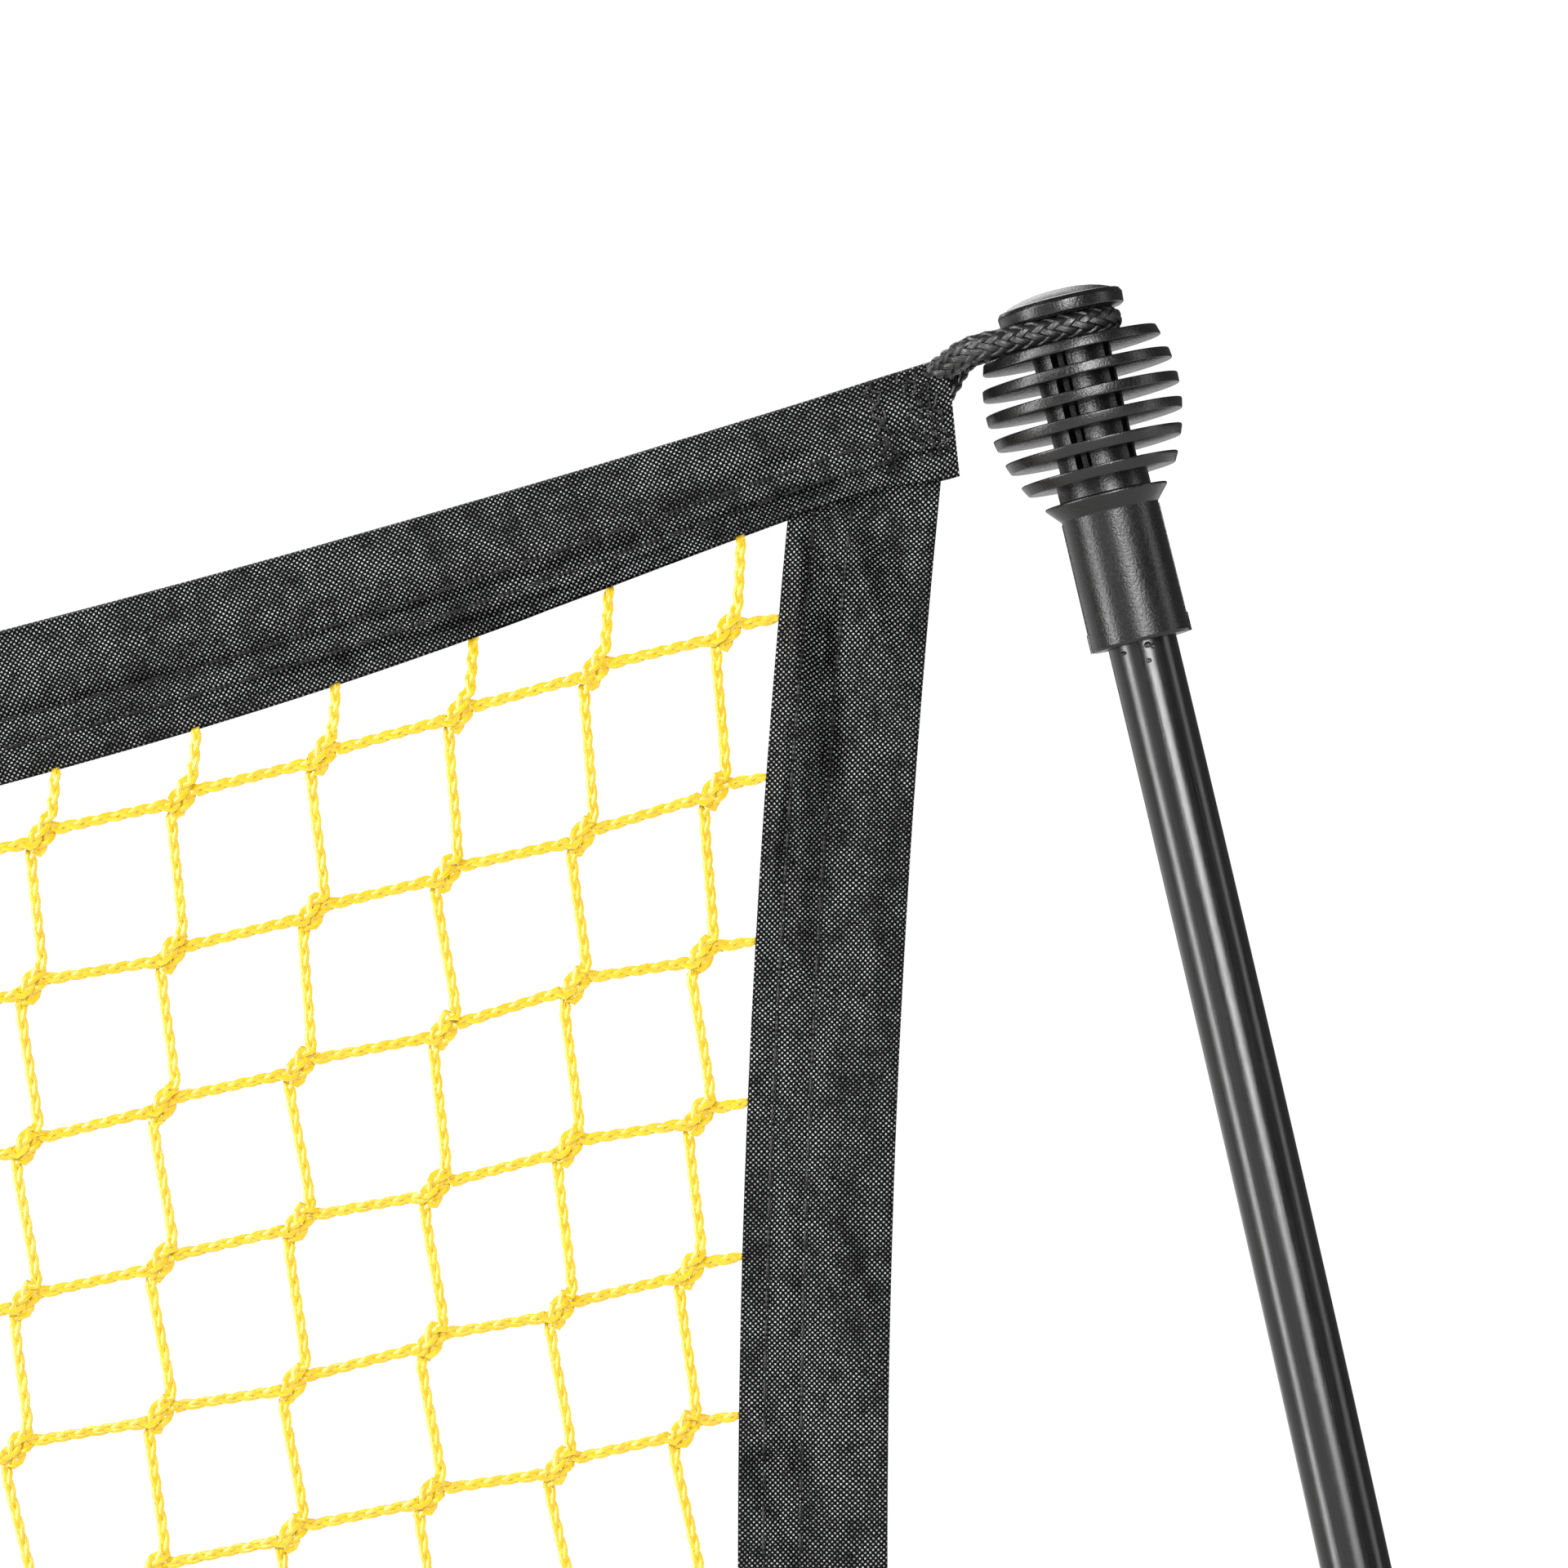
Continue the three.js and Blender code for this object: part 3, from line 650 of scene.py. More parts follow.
def glue_drops():
    """Dried beads of adhesive on the rod, just under its socket."""
    rng = np.random.default_rng(7)
    bead = turned([(0, -0.5), (0.62, -0.4), (0.95, -0.1), (1, 0.1), (0.75, 0.55), (0.35, 0.8), (0, 0.85)], 14)
    drops = []
    # Each is (degrees round the rod, distance below the tip, radius).
    spots = ((-84, 47.6, 0.55), (-76, 47.9, 0.4), (-88, 49.7, 0.4), (-128, 47.9, 0.42), (60, 48.2, 0.3))
    for angle, down, size in spots:
        a = math.radians(angle)
        middle = (ROD_RADIUS * math.cos(a), ROD_RADIUS * math.sin(a), -down)
        stretch = np.diag(size * np.array([1.0, 1.0, 0.9 + 0.5 * rng.random()]))
        drops.append(shifted(bead.moved(stretch), *middle))
    return joined(drops)


def add_poles():
    """The right pole's pieces, and their mirror images. They end a little short of the CAD's solids."""
    upper_low = solid_points("pole_upper_right")[:, 2].min()
    lower_high = solid_points("pole_lower_right")[:, 2].max()
    ferrule = solid_points("pole_ferrule_right")
    collar = ring_frame("loop_collar_right")
    head, drops = pole_head().moved(HEAD), glue_drops().moved(HEAD)
    upper = tube(rod_path(upper_low, ROD_HIGH - 1), ROD_RADIUS, 40)
    lower = tube(rod_path(ROD_LOW + 0.8, lower_high), ROD_RADIUS, 40)
    sleeve = ferrule_shape(ferrule[:, 2].min() + 0.8, ferrule[:, 2].max() - 0.8)
    pieces = (
        ("pole_head_{}_shell", head, HEAD_PLASTIC, "pole_head_{}"),
        ("glue_drops_{}", drops, ADHESIVE, ""),
        ("rod_upper_{}", upper, FIBREGLASS, "pole_upper_{}"),
        ("rod_lower_{}", lower, FIBREGLASS, "pole_lower_{}"),
        ("ferrule_{}", sleeve, ZINC, "pole_ferrule_{}"),
        ("collar_{}", collar_shape().moved(collar), NYLON, "loop_collar_{}"),
    )
    for side, sign in SIDES:
        for name, shape, material, node in pieces:
            make(name.format(side), on_side(shape, sign), material, node.format(side))


def ferrule_shape(low, high):
    """A drawn steel sleeve with rolled ends and crimped rings: two near its top and one near its bottom."""
    path = rod_path(low, high, 0.6)
    along = lengths_along(path)
    long = along[-1]
    outer = np.full(len(path), 6.3)
    for crimp in (0.14, 0.2, 0.86):  # as shares of its length, from the top
        outer -= 0.28 * np.exp(-(((along - crimp * long) / 0.9) ** 2))
    outer -= 0.5 * np.exp(-along / 0.5) + 0.5 * np.exp(-(long - along) / 0.5)
    return sweep(path, *frames_along(path), outer[:, None, None] * ring(1.0, 40))


def collar_shape():
    """The moulded ring that holds the lower loop up: a round groove between two flanges."""
    half = [(6.5, 0.9), (7.1, 1.75), (9, 2.1), (10, 3), (10, 5.2), (9.2, 6), (5.05, 6)]
    profile = [(r, -z) for r, z in half[::-1]] + half
    return turned(filleted(profile, 0.35, 3, True), 72, closed=True)


def ring_frame(node):
    """As standing_frame, for a ring on the pole: its axis is the pole's."""
    low, high = (np.array(c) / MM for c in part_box(node))
    z = (low[2] + high[2]) / 2
    ends = rod_path(z - 5, z + 5, 2.0)
    return frame_on(unit(ends[0] - ends[-1]), [rod_x(z), 0, z])


add_poles()


# ---- Tapes ----
STITCH = {"pitch": 4.1, "long": 3.3, "radius": 0.24, "hem_margin": 9, "side_margin": 4}


class Run:
    """A tape's outer edge as a path, with the direction in towards the net at each point."""

    def __init__(self, path):
        self.path = path
        self.tangent = unit(np.gradient(path, axis=0))
        self.inward = unit(np.cross(FRONT, self.tangent))
        self.along = lengths_along(path)
        self.long = self.along[-1]

    def spots(self, u, v, out):
        """Points u along the edge, v in from it, and out towards the front."""
        there = [[np.interp(u, self.along, a[:, k]) for k in range(3)] for a in (self.path, self.inward)]
        base, inward = (np.stack(a, 1) for a in there)
        return base + v[:, None] * inward + out[:, None] * FRONT


def fold(u, v, start, end, width, depth):
    """A fold's height: a soft ridge, or a valley where depth is negative, between two (u, v) points."""
    start, end = np.asarray(start, float), np.asarray(end, float)
    line = end - start
    t = np.clip(((u - start[0]) * line[0] + (v - start[1]) * line[1]) / line.dot(line), 0, 1)
    away = np.hypot(u - start[0] - t * line[0], v - start[1] - t * line[1])
    fade = np.sin(math.pi * np.clip(0.12 + 0.76 * t, 0, 1))
    return depth * fade * np.exp(-((away / width) ** 2))


def tape_shape(run, width, relief, thickness, across=44, cut=0.0):
    """A closed band of cloth. width is how wide it is at each point, relief how far its middle stands towards
    the front and thickness half its depth, both as functions of (along, across). Each end is cut square, or
    aslant so that its outer corner reaches further by cut."""
    n = len(run.path)
    # The points across it lie closer together near its edges.
    share = 0.5 - 0.5 * np.cos(np.linspace(0, math.pi, across)) * 0.35
    share -= 0.65 * (0.5 - np.linspace(0, 1, across))
    share = (share - share[0]) / (share[-1] - share[0])
    u = np.broadcast_to(run.along[:, None], (n, across))
    v = share * width[:, None]
    middle = run.path[:, None] + v[..., None] * run.inward[:, None]
    slant = np.exp(-((u / 12) ** 2)) - np.exp(-(((run.long - u) / 12) ** 2))
    middle = middle - (cut * (0.7 - share) * slant)[..., None] * run.tangent[:, None]
    lift, half = relief(u, v), thickness(u, v)
    front = middle + (lift + half)[..., None] * FRONT
    back = middle + (lift - half)[..., None] * FRONT
    section = np.concatenate([front, back[:, ::-1]], axis=1)
    m = 2 * across
    i, j = np.meshgrid(np.arange(n - 1), np.arange(m), indexing="ij")
    nxt = (j + 1) % m
    quads = np.stack([i * m + j, (i + 1) * m + j, (i + 1) * m + nxt, i * m + nxt], axis=-1).reshape(-1, 4)
    place = np.stack([np.concatenate([u, u], 1), np.concatenate([v, v[:, ::-1] + 0.28], 1)], axis=-1)
    places = place.reshape(-1, 2)
    uv = places[quads]
    low = np.arange(across - 1)
    first = np.stack([low, low + 1, m - 2 - low, m - 1 - low], axis=1)
    last = (n - 1) * m + first[:, ::-1]
    caps = np.vstack([first, last])
    return Shape(section.reshape(-1, 3), np.vstack([quads, caps]), (), np.concatenate([uv, places[caps]]))


def stitch_row(run, inwards, margin, relief, thickness):
    """A row of stitches on both faces, up to a margin from the ends. inwards(u) is how far in it is."""
    arch = 0.22 * np.sin(np.linspace(0, math.pi, 7)) - 0.1
    taper = 0.45 + 0.55 * np.sin(np.linspace(0.25, math.pi - 0.25, 7))
    shapes = []
    for face in (1, -1):
        for start in np.arange(margin, run.long - margin, STITCH["pitch"]):
            u = np.linspace(start, start + STITCH["long"], 7)
            v = inwards(u)
            path = run.spots(u, v, relief(u, v) + face * (thickness(u, v) + arch))
            shapes.append(sweep(path, *frames_along(path), taper[:, None, None] * ring(STITCH["radius"], 6)))
    return joined(shapes)


def puckers(u, v, row, depth):
    """The dimples that a row of stitches pulls into the cloth."""
    rhythm = 0.7 + 0.3 * np.cos(2 * math.pi * u / STITCH["pitch"])
    return -depth * np.exp(-(((v - row) / 0.85) ** 2)) * rhythm


def rounded_off(thickness, v, least):
    """A thickness, made less near the outer edge, so that the edge is round. least is what is left there."""
    edge = np.minimum(v, 0.7) / 0.7
    return np.maximum(thickness * np.sqrt(np.clip(edge * (2 - edge), least, 1)), 0.16)


# Each wave is (its length along the tape, its length across, its height).
RIPPLES = ((61, 33, 0.22), (37, -27, 0.16), (23, 19, 0.1), (14.5, -31, 0.06), (9.1, 12, 0.035))
ripple_phase = np.random.default_rng(3).uniform(0, 2 * math.pi, len(RIPPLES))


def ripples(u, v, scale):
    """Low, uneven waves in slack cloth."""
    made = 0
    for (along, across, height), phase in zip(RIPPLES, ripple_phase):
        made = made + height * np.sin(2 * math.pi * (u / along + v / across) + phase)
    return scale * made


# Top and bottom tapes: a sleeve with a cord in it along the outer edge, then two rows of stitches.
SLEEVE = 11.6
LAYERS = 0.62  # half the thickness of the cloth where its layers are sewn together
TACKED = 9.5  # how much of each end is crossed with tacking stitches
HEM_CUT = 3.3  # how much further a hem's outer corner reaches than its inner one
GATHER = {"top": 6.5, "bottom": 2.0, "reach": 75.0}  # how much narrower a hem's ends are, and how far in
HEM_ROWS = (12.1, 15.9)  # the rows of stitches, from the outer edge
TACKS = (1.2, 2.3, 3.5, 4.9, 8.6, TACKED)  # how far from each end the tacking crosses the tape
BACK_LAYER = {"wider": 0.3, "behind": 0.85, "half": 0.3, "half_at_sleeve": 0.14}
FOLD_HEIGHT = {"hem": 2.3, "side": 3.4}  # times the depths in the tables of folds
CORNER_FOLDS = (
    # start and end as (distance from the tape's end, distance from its outer edge), width, depth
    ((112, 17.2), (24, 14.6), 1.3, -0.8),
    ((150, 18.8), (70, 17.0), 1.2, 0.5),
    ((60, 17.2), (10, 12.0), 1.2, 0.9),
    ((52, 15.0), (19, 12.4), 1.2, -0.85),
    ((40, 19.5), (10, 13.6), 1.1, 0.7),
    ((66, 14.5), (34, 9.0), 1.8, -0.5),
    ((34, 8.6), (12, 6.4), 1.6, -0.55),
    ((28, 4.6), (9, 8.6), 1.5, 0.45),
    ((84, 16.5), (50, 13.2), 1.6, 0.4),
    ((95, 10.5), (62, 12.6), 1.9, -0.3),
)
BOTTOM_FOLDS = CORNER_FOLDS[2:]


def hem_relief(long, folds):
    """How far a hem's middle stands towards the front, as a function of (along, across)."""

    def relief(u, v):
        end = np.minimum(u, long - u)
        near = np.exp(-((end / 60) ** 2))
        made = ripples(u, v, 0.4 + 1.1 * near)
        for start, stop, width, depth in folds:
            made = made + FOLD_HEIGHT["hem"] * fold(end, v, start, stop, width, depth)
        # Sewing has pulled the end into a rough patch.
        patch = np.clip((TACKED - end) / 2.5, 0, 1) * np.clip(end / 0.8, 0, 1)
        rough = np.sin(2 * math.pi * (u / 2.7 + v / 3.6)) * np.sin(2 * math.pi * (u / 4.3 - v / 2.5) + 0.7)
        return made * np.clip(end / 6, 0.25, 1) + 0.34 * patch * rough

    return relief


def hem_thickness(long):
    """Half a hem's thickness, as a function of (along, across)."""

    def thickness(u, v):
        end = np.minimum(u, long - u)
        puff = np.sin(math.pi * np.clip(v / SLEEVE, 0, 1)) ** 0.5
        made = LAYERS + (2.5 - LAYERS) * puff * np.clip(0.92 + (end - 4) / 60, 0.92, 1)
        # Its end is folded in and sewn down.
        made = made + 0.4 * np.clip((8.2 - end) / 0.5, 0, 1) * np.clip(1 - puff, 0.25, 1)
        for row in HEM_ROWS:
            made = made + puckers(u, v, row, 0.4)
        made = made + 0.4 * np.exp(-(((v - sum(HEM_ROWS) / 2) / 1.3) ** 2))
        return rounded_off(made, v, 0.02)

    return thickness


def edge_run(curve, half, sign):
    """A hem's outer edge as a Run. Runs go anticlockwise, seen from the front, with the net on their left."""
    x = sign * np.linspace(half, -half, round(half / 2))
    return Run(evenly(np.stack([x, 0 * x, curve(x)], axis=1), 1.3))


def hem_width(from_end, narrowing):
    """A hem's width: it is gathered near its end, and less at the end itself, which is sewn flat."""
    gathered = np.exp(-((from_end / GATHER["reach"]) ** 2)) - 0.3 * np.exp(-((from_end / TACKED) ** 2))
    return TAPE_WIDTH - narrowing * gathered


def hem_inner(x, curve, half, sign, narrowing):
    """The height of a hem's inner edge."""
    root = np.sqrt(1 + curve.deriv()(x) ** 2)
    return curve(x) - sign * hem_width((half - np.abs(x)) * root, narrowing) * root


TOP_HEM = (edge_run(TOP_EDGE, TOP_HALF, 1), GATHER["top"], CORNER_FOLDS)
BOTTOM_HEM = (edge_run(BOTTOM_EDGE, BOTTOM_HALF, -1), GATHER["bottom"], BOTTOM_FOLDS)


def add_hem(place, run, narrowing, folds):
    """A hem with a cord's sleeve along its outer edge; its two layers are sewn together below that."""
    width = hem_width(np.minimum(run.along, run.long - run.along), narrowing)
    relief, thickness = hem_relief(run.long, folds), hem_thickness(run.long)
    hem = tape_shape(run, width, relief, thickness, cut=HEM_CUT)
    tape = make(f"{place}_hem", hem, TAPE, f"{place}_tape")

    def further_back(u, v):
        return relief(u, v) - BACK_LAYER["behind"]

    def single(_, v):
        return np.where(v > SLEEVE, BACK_LAYER["half"], BACK_LAYER["half_at_sleeve"])

    def narrowed(row):
        return lambda u: row * np.interp(u, run.along, width) / TAPE_WIDTH

    # The back layer is cut a little wider.
    behind = tape_shape(run, width + BACK_LAYER["wider"], further_back, single, 20, HEM_CUT)
    back = make(f"{place}_hem_back_layer", behind, TAPE)
    sewn = [stitch_row(run, narrowed(row), STITCH["hem_margin"], relief, thickness) for row in HEM_ROWS]
    for u in TACKS:
        sewn += [cross_stitches(run, start, relief, thickness) for start in (u, run.long - u)]
    stitches = make(f"{place}_hem_stitches", joined(sewn), THREAD)


def cross_stitches(run, at, relief, thickness):
    """Bar tacks across the end of a tape, on both faces."""
    arch = 0.2 * np.sin(np.linspace(0, math.pi, 5)) - 0.06
    shapes = []
    for face in (1, -1):
        for start in np.arange(0.3, 11.3, 2.1):
            v = np.linspace(start, start + 1.9, 5)
            u = at + 0.5 * np.sin(v * 2.3 + 5 * at) + 0.3 * np.sin(v * 5.1)
            path = run.spots(u, v, relief(u, v) + face * (thickness(u, v) + arch))
            shapes.append(sweep(path, *frames_along(path, (1.0, 0, 0)), ring(STITCH["radius"], 6)))
    return joined(shapes)


# The side tapes are one strip folded round the net's edge and sewn with two rows.
SIDE_ROWS = (11.8, 16.8)
SIDE_UNDER = 7.0  # how far a side tape's ends are tucked behind the top and bottom hems
SIDE_FOLDS = (
    # start and end as (distance down from the top end, distance from the outer edge), width, depth
    ((12, 12.5), (34, 14.8), 1.2, -0.55),
    ((14, 17.8), (58, 18.6), 1.2, 0.5),
    ((96, 10.5), (118, 2.5), 1.6, 0.42),
    ((4, 15), (30, 3.5), 1.5, 0.75),
    ((5, 17.5), (52, 9.5), 1.6, -0.6),
    ((8, 18.6), (70, 14.0), 1.3, 0.45),
    ((6, 10), (22, 2.2), 1.3, -0.5),
    ((38, 6.5), (80, 3.0), 1.9, 0.35),
    ((128, 19), (141, 11.0), 1.4, 0.6),
    ((135, 18), (150, 12.0), 1.3, -0.45),
    ((215, 5), (262, 12.0), 2.0, 0.35),
    ((330, 16), (368, 6.0), 1.8, -0.4),
    ((390, 5), (415, 16.0), 1.6, 0.5),
)
SIDE_LOW = solid_points("side_tape_right")[:, 2].min() - SIDE_UNDER
SIDE_HIGH = solid_points("side_tape_right")[:, 2].max() + SIDE_UNDER
side_z = np.linspace(SIDE_LOW, SIDE_HIGH, 160)
SIDE_RUN = Run(evenly(np.stack([SIDE_EDGE(side_z), 0 * side_z, side_z], axis=1), 1.0))


def side_relief(u, v):
    """How far a side tape's middle stands towards the front."""
    down = SIDE_RUN.long - u
    made = ripples(u, v, 0.9)
    for start, stop, width, depth in SIDE_FOLDS:
        made = made + FOLD_HEIGHT["side"] * fold(down, v, start, stop, width, depth)
    under = np.maximum(np.exp(-((down / 9) ** 2)), np.exp(-((u / 9) ** 2)))
    return made * (1 - under) - 1.7 * under


def side_thickness(u, v):
    """Half a side tape's thickness."""
    made = 0.66 + 0.5 * np.sin(math.pi * np.clip(v / SIDE_ROWS[0], 0, 1)) ** 0.6
    for row in SIDE_ROWS:
        made = made + puckers(u, v, row, 0.36) + 0.05 * np.sin(2 * math.pi * u / STITCH["pitch"] + row)
    between = np.exp(-(((v - sum(SIDE_ROWS) / 2) / 1.5) ** 2))
    made = made + between * (0.34 + 0.12 * np.sin(2 * math.pi * (u / STITCH["pitch"] + v / 9)))
    return rounded_off(made, v, 0.03)


def add_side_tapes():
    run = SIDE_RUN
    tape = tape_shape(run, np.full(len(run.path), TAPE_WIDTH), side_relief, side_thickness)

    def straight(row):
        return lambda u: np.full_like(u, row)

    margin = STITCH["side_margin"]
    sewn = joined(stitch_row(run, straight(row), margin, side_relief, side_thickness) for row in SIDE_ROWS)
    for side, sign in SIDES:
        strip = make(f"side_hem_{side}", on_side(tape, sign), TAPE, f"side_tape_{side}")
        stitches = make(f"side_hem_{side}_stitches", on_side(sewn, sign), THREAD)


# ---- Netting ----
COLUMNS, ROWS = 66, 20
COLUMN_SPREAD = 0.989  # the outermost columns' place, as a share of the way to the side tapes
CLOSER = 0.013  # how far the columns near the side tapes are crowded, as a share of half the net's width
ROW_START = (8.4, 4.4)  # how far below the top hem the first row is, and how much further at the ends
ROW_END = 8.4  # how far above the bottom hem the last row is
JOINT_SLANT = np.array([math.cos(math.radians(57)), 0, math.sin(math.radians(57))])
JOINT_HALF = 3.6  # half a joint's length
JOINT_SPREAD = 0.66  # how far each of its two cords runs from its middle
JOINT_FLARE = 0.65  # how much wider a cord is in a joint
FLARE_REACH = 3.2  # how far from a joint's middle it has mostly narrowed again
HELD = 1.0  # how far a cord's end reaches in between a hem's layers
PLAIT = {"pitch": 7.6, "wide": 0.43, "deep": 0.3, "strand": 0.3}
MOST_FACES = 165000  # in one piece of the netting, as triangles


def side_inner(z):
    """How far out a side tape's inner edge is."""
    return SIDE_EDGE(z) - TAPE_WIDTH


def top_inner(x):
    return hem_inner(x, TOP_EDGE, TOP_HALF, 1, GATHER["top"])


def bottom_inner(x):
    return hem_inner(x, BOTTOM_EDGE, BOTTOM_HALF, -1, GATHER["bottom"])


def held_by_hem(x, inner, sign, run, narrowing, folds):
    """A cord's end in between the layers of a hem."""
    u = np.interp(-sign * x, -sign * run.path[:, 0], run.along)
    v = hem_width(min(u, run.long - u), narrowing) - HELD / 2
    return np.array([x, 0.6 - hem_relief(run.long, folds)(u, v), inner(x) + sign * HELD])


def held_by_side(z, sign):
    """A cord's end inside a side tape."""
    u = np.interp(z, SIDE_RUN.path[:, 2], SIDE_RUN.along)
    return np.array([sign * (side_inner(z) + HELD), 0.15 - side_relief(u, TAPE_WIDTH - HELD / 2), z])


def net_grid():
    """The joints' middles, by column from the left and row from the top."""
    share = np.linspace(-1, 1, COLUMNS)
    # The last columns before the side tapes stand a little closer together.
    share = np.sign(share) * (np.abs(share) - CLOSER * np.abs(share) ** 9) / (1 - CLOSER)
    rng = np.random.default_rng(11)
    z = np.full((COLUMNS, ROWS), 620.0)
    # The columns' places depend on the rows' heights and the other way round, so they are worked out in turn.
    for _ in range(6):
        x = share[:, None] * COLUMN_SPREAD * side_inner(z)
        high, low = top_inner(x), bottom_inner(x)
        first = high - ROW_START[0] - ROW_START[1] * np.abs(share[:, None]) ** 14
        z = first + (low + ROW_END - first) * np.arange(ROWS) / (ROWS - 1)
    joints = np.stack([x, 0 * x, z], axis=-1)
    joints[:, 1:] += rng.normal(0, 0.3, joints[:, 1:].shape) * [1, 0.8, 1]
    joints[..., 1] += 0.9 * np.sin(x / 47) * np.sin(z / 39)
    return joints


def stair(joints, column, row):
    """One cord's path, and how wide it is along it. It crosses the net in steps, along to a joint and up to
    the next, from the left edge at a row or, with a column, from the bottom edge."""
    nudge = np.cross(FRONT, JOINT_SLANT) * JOINT_SPREAD
    # A cord reaches a joint in one of these directions and leaves it in the other.
    level, steep = JOINT_SLANT * [1.2, 1, 0.52], JOINT_SLANT
    along = column is None
    if along:
        c, r = 0, row
        points = [held_by_side(joints[0, r, 2] - 2.0, -1)]
    else:
        c, r = column, ROWS - 1
        points = [held_by_hem(joints[c, r, 0] - 1.5, bottom_inner, -1, *BOTTOM_HEM)]
    met = []
    while r >= 0 and c < COLUMNS:
        across = nudge * (1 if along else -1) + [0, -0.3 if along else 0.3, 0]
        before, after = (level, steep) if along else (steep, level)
        met.append(joints[c, r])
        middle = met[-1] + across
        points += [middle - JOINT_HALF * before, middle - 0.5 * JOINT_HALF * JOINT_SLANT]
        points += [middle + 0.5 * JOINT_HALF * JOINT_SLANT, middle + JOINT_HALF * after]
        c, r = (c, r - 1) if along else (c + 1, r)
        along = not along
    x, _, z = points[-1]
    points.append(held_by_hem(x + 0.6, top_inner, 1, *TOP_HEM) if r < 0 else held_by_side(z + 0.9, 1))
    path = smooth(points, 0.95)
    away = np.linalg.norm(path[:, None] - np.array(met), axis=2).min(axis=1)
    return path, 1 + JOINT_FLARE * np.exp(-((away / FLARE_REACH) ** 2))


def plait(path, flare, phase, pitch, wide, deep, strand):
    """Three flattened strands plaited along a path, which draw together at its ends."""
    normal, binormal = frames_along(path)
    along = lengths_along(path)
    shapes = []
    held = np.minimum(along, along[-1] - along)
    slim = (0.42 + 0.58 * np.clip((held - HELD + 0.6) / 1.6, 0, 1))[:, None]
    for k in range(3):
        a = 2 * math.pi * (along / pitch + k / 3) + phase
        aside = flare[:, None] * wide * np.sin(a)[:, None] * binormal
        offset = slim * (aside + deep * np.sin(2 * a)[:, None] * normal)
        section = (slim * (0.6 + 0.4 * flare[:, None]))[..., None] * ring(strand, 6, 1.3)
        shapes.append(sweep(path + offset, normal, binormal, section))
    return joined(shapes)


def add_netting():
    """The whole panel, split into pieces of about MOST_FACES triangles each. The whole
    panel, in pieces small enough to keep all their faces.
    """
    joints = net_grid()
    starts = [(None, r) for r in range(ROWS)] + [(c, None) for c in range(COLUMNS)]
    cords = [plait(*stair(joints, c, r), 1.7 * i, **PLAIT) for i, (c, r) in enumerate(starts)]
    groups, size = [[]], 0
    for cord in cords:
        if size > MOST_FACES:
            groups.append([])
            size = 0
        groups[-1].append(cord)
        size += 2 * len(cord.quads) + len(cord.tris)
    for count, group in enumerate(groups, 1):
        make(f"netting_{count}", joined(group), NETTING, "mesh_panel" if count == 1 else None)


# ---- Ropes ----
BRAID = {"pitch": 17.0, "middle": 1.34, "rise": 0.28, "wide": 0.52, "thick": 0.33, "carriers": 8}


def braid(path):
    """A hollow braid round a core: as many strands each way, each over two and under two."""
    carriers = BRAID["carriers"]
    normal, binormal = frames_along(path)
    along = lengths_along(path)
    turn = 2 * math.pi * along / BRAID["pitch"]
    shapes = [sweep(path, normal, binormal, ring(BRAID["middle"] - 0.25, 8))]
    for way in (1, -1):
        for k in range(carriers):
            a = way * turn + 2 * math.pi * k / carriers
            wave = np.cos(carriers / 2 * turn - way * math.pi / 4 + math.pi * k)
            radius = BRAID["middle"] + way * BRAID["rise"] * wave
            out = np.cos(a)[:, None] * normal + np.sin(a)[:, None] * binormal
            strand = path + radius[:, None] * out
            tangent = unit(np.gradient(strand, axis=0))
            out = unit(out - (out * tangent).sum(1, keepdims=True) * tangent)
            flat = ring(1.0, 8) * [BRAID["thick"], BRAID["wide"]]
            shapes.append(sweep(strand, out, np.cross(tangent, out), flat))
    return joined(shapes)


def loop_path(mouth, centre, out, upper, lower, slope, radius, rim, rim_y):
    """A loop's route: out of its sleeve in front of the pole, round a groove and back in behind. It leaves
    the sleeve at the height upper and comes back at lower; rim is where it meets the groove's flanges."""
    out = np.array([out[0], 0, out[1]])

    def at(ahead, y):
        return centre + out * ahead + [0, y, 0]

    def in_sleeve(x, y, z):
        return np.array([mouth + x, y, z + slope * x])

    spots = (-18, -9, 0)
    arc = [at(radius * math.cos(a), radius * math.sin(a)) for a in map(math.radians, np.linspace(-90, 90, 7))]
    points = [in_sleeve(x, -0.5 * (x + 18) / 18, upper + 0.11 * x) for x in spots]
    points += [at(-rim, -rim_y), at(-rim / 2, -radius), *arc, at(-rim / 2, radius), at(-rim, rim_y)]
    points += [in_sleeve(x, 0.5 * (x + 18) / 18, lower + 0.05 * x) for x in spots[::-1]]
    return smooth(points, 0.55)


GROOVE_BELOW_TIP = 3.03
TOP_LOOP = {"upper": 901.8, "lower": 898.0, "slope": 0.321, "radius": 6.0, "rim": 13.8, "rim_y": 5.4}
LOWER_LOOP = {"upper": 450.0, "lower": 445.8, "slope": 0.18, "radius": 9.1, "rim": 12.0, "rim_y": 7.0}


def add_loops():
    axis = HEAD[:3, 2]
    tilt = math.asin(-axis[0])
    high = loop_path(TOP_HALF, TIP - axis * GROOVE_BELOW_TIP, (math.cos(tilt), math.sin(tilt)), **TOP_LOOP)
    collar = ring_frame("loop_collar_right")
    low = loop_path(BOTTOM_HALF, collar[:3, 3], (collar[0, 0], collar[2, 0]), **LOWER_LOOP)
    for place, route in (("top", high), ("bottom", low)):
        for side, sign in SIDES:
            path = route * [sign, 1, 1]
            obj = make(f"rope_loop_{place}_{side}", braid(path), ROPE, f"loop_{place}_{side}")
            lengths_along(path)[-1] * MM


SLEEVE_CORD = {"inset": 22, "depth": 4.2, "pitch": 16, "offset": 0.85, "strand": 0.8}


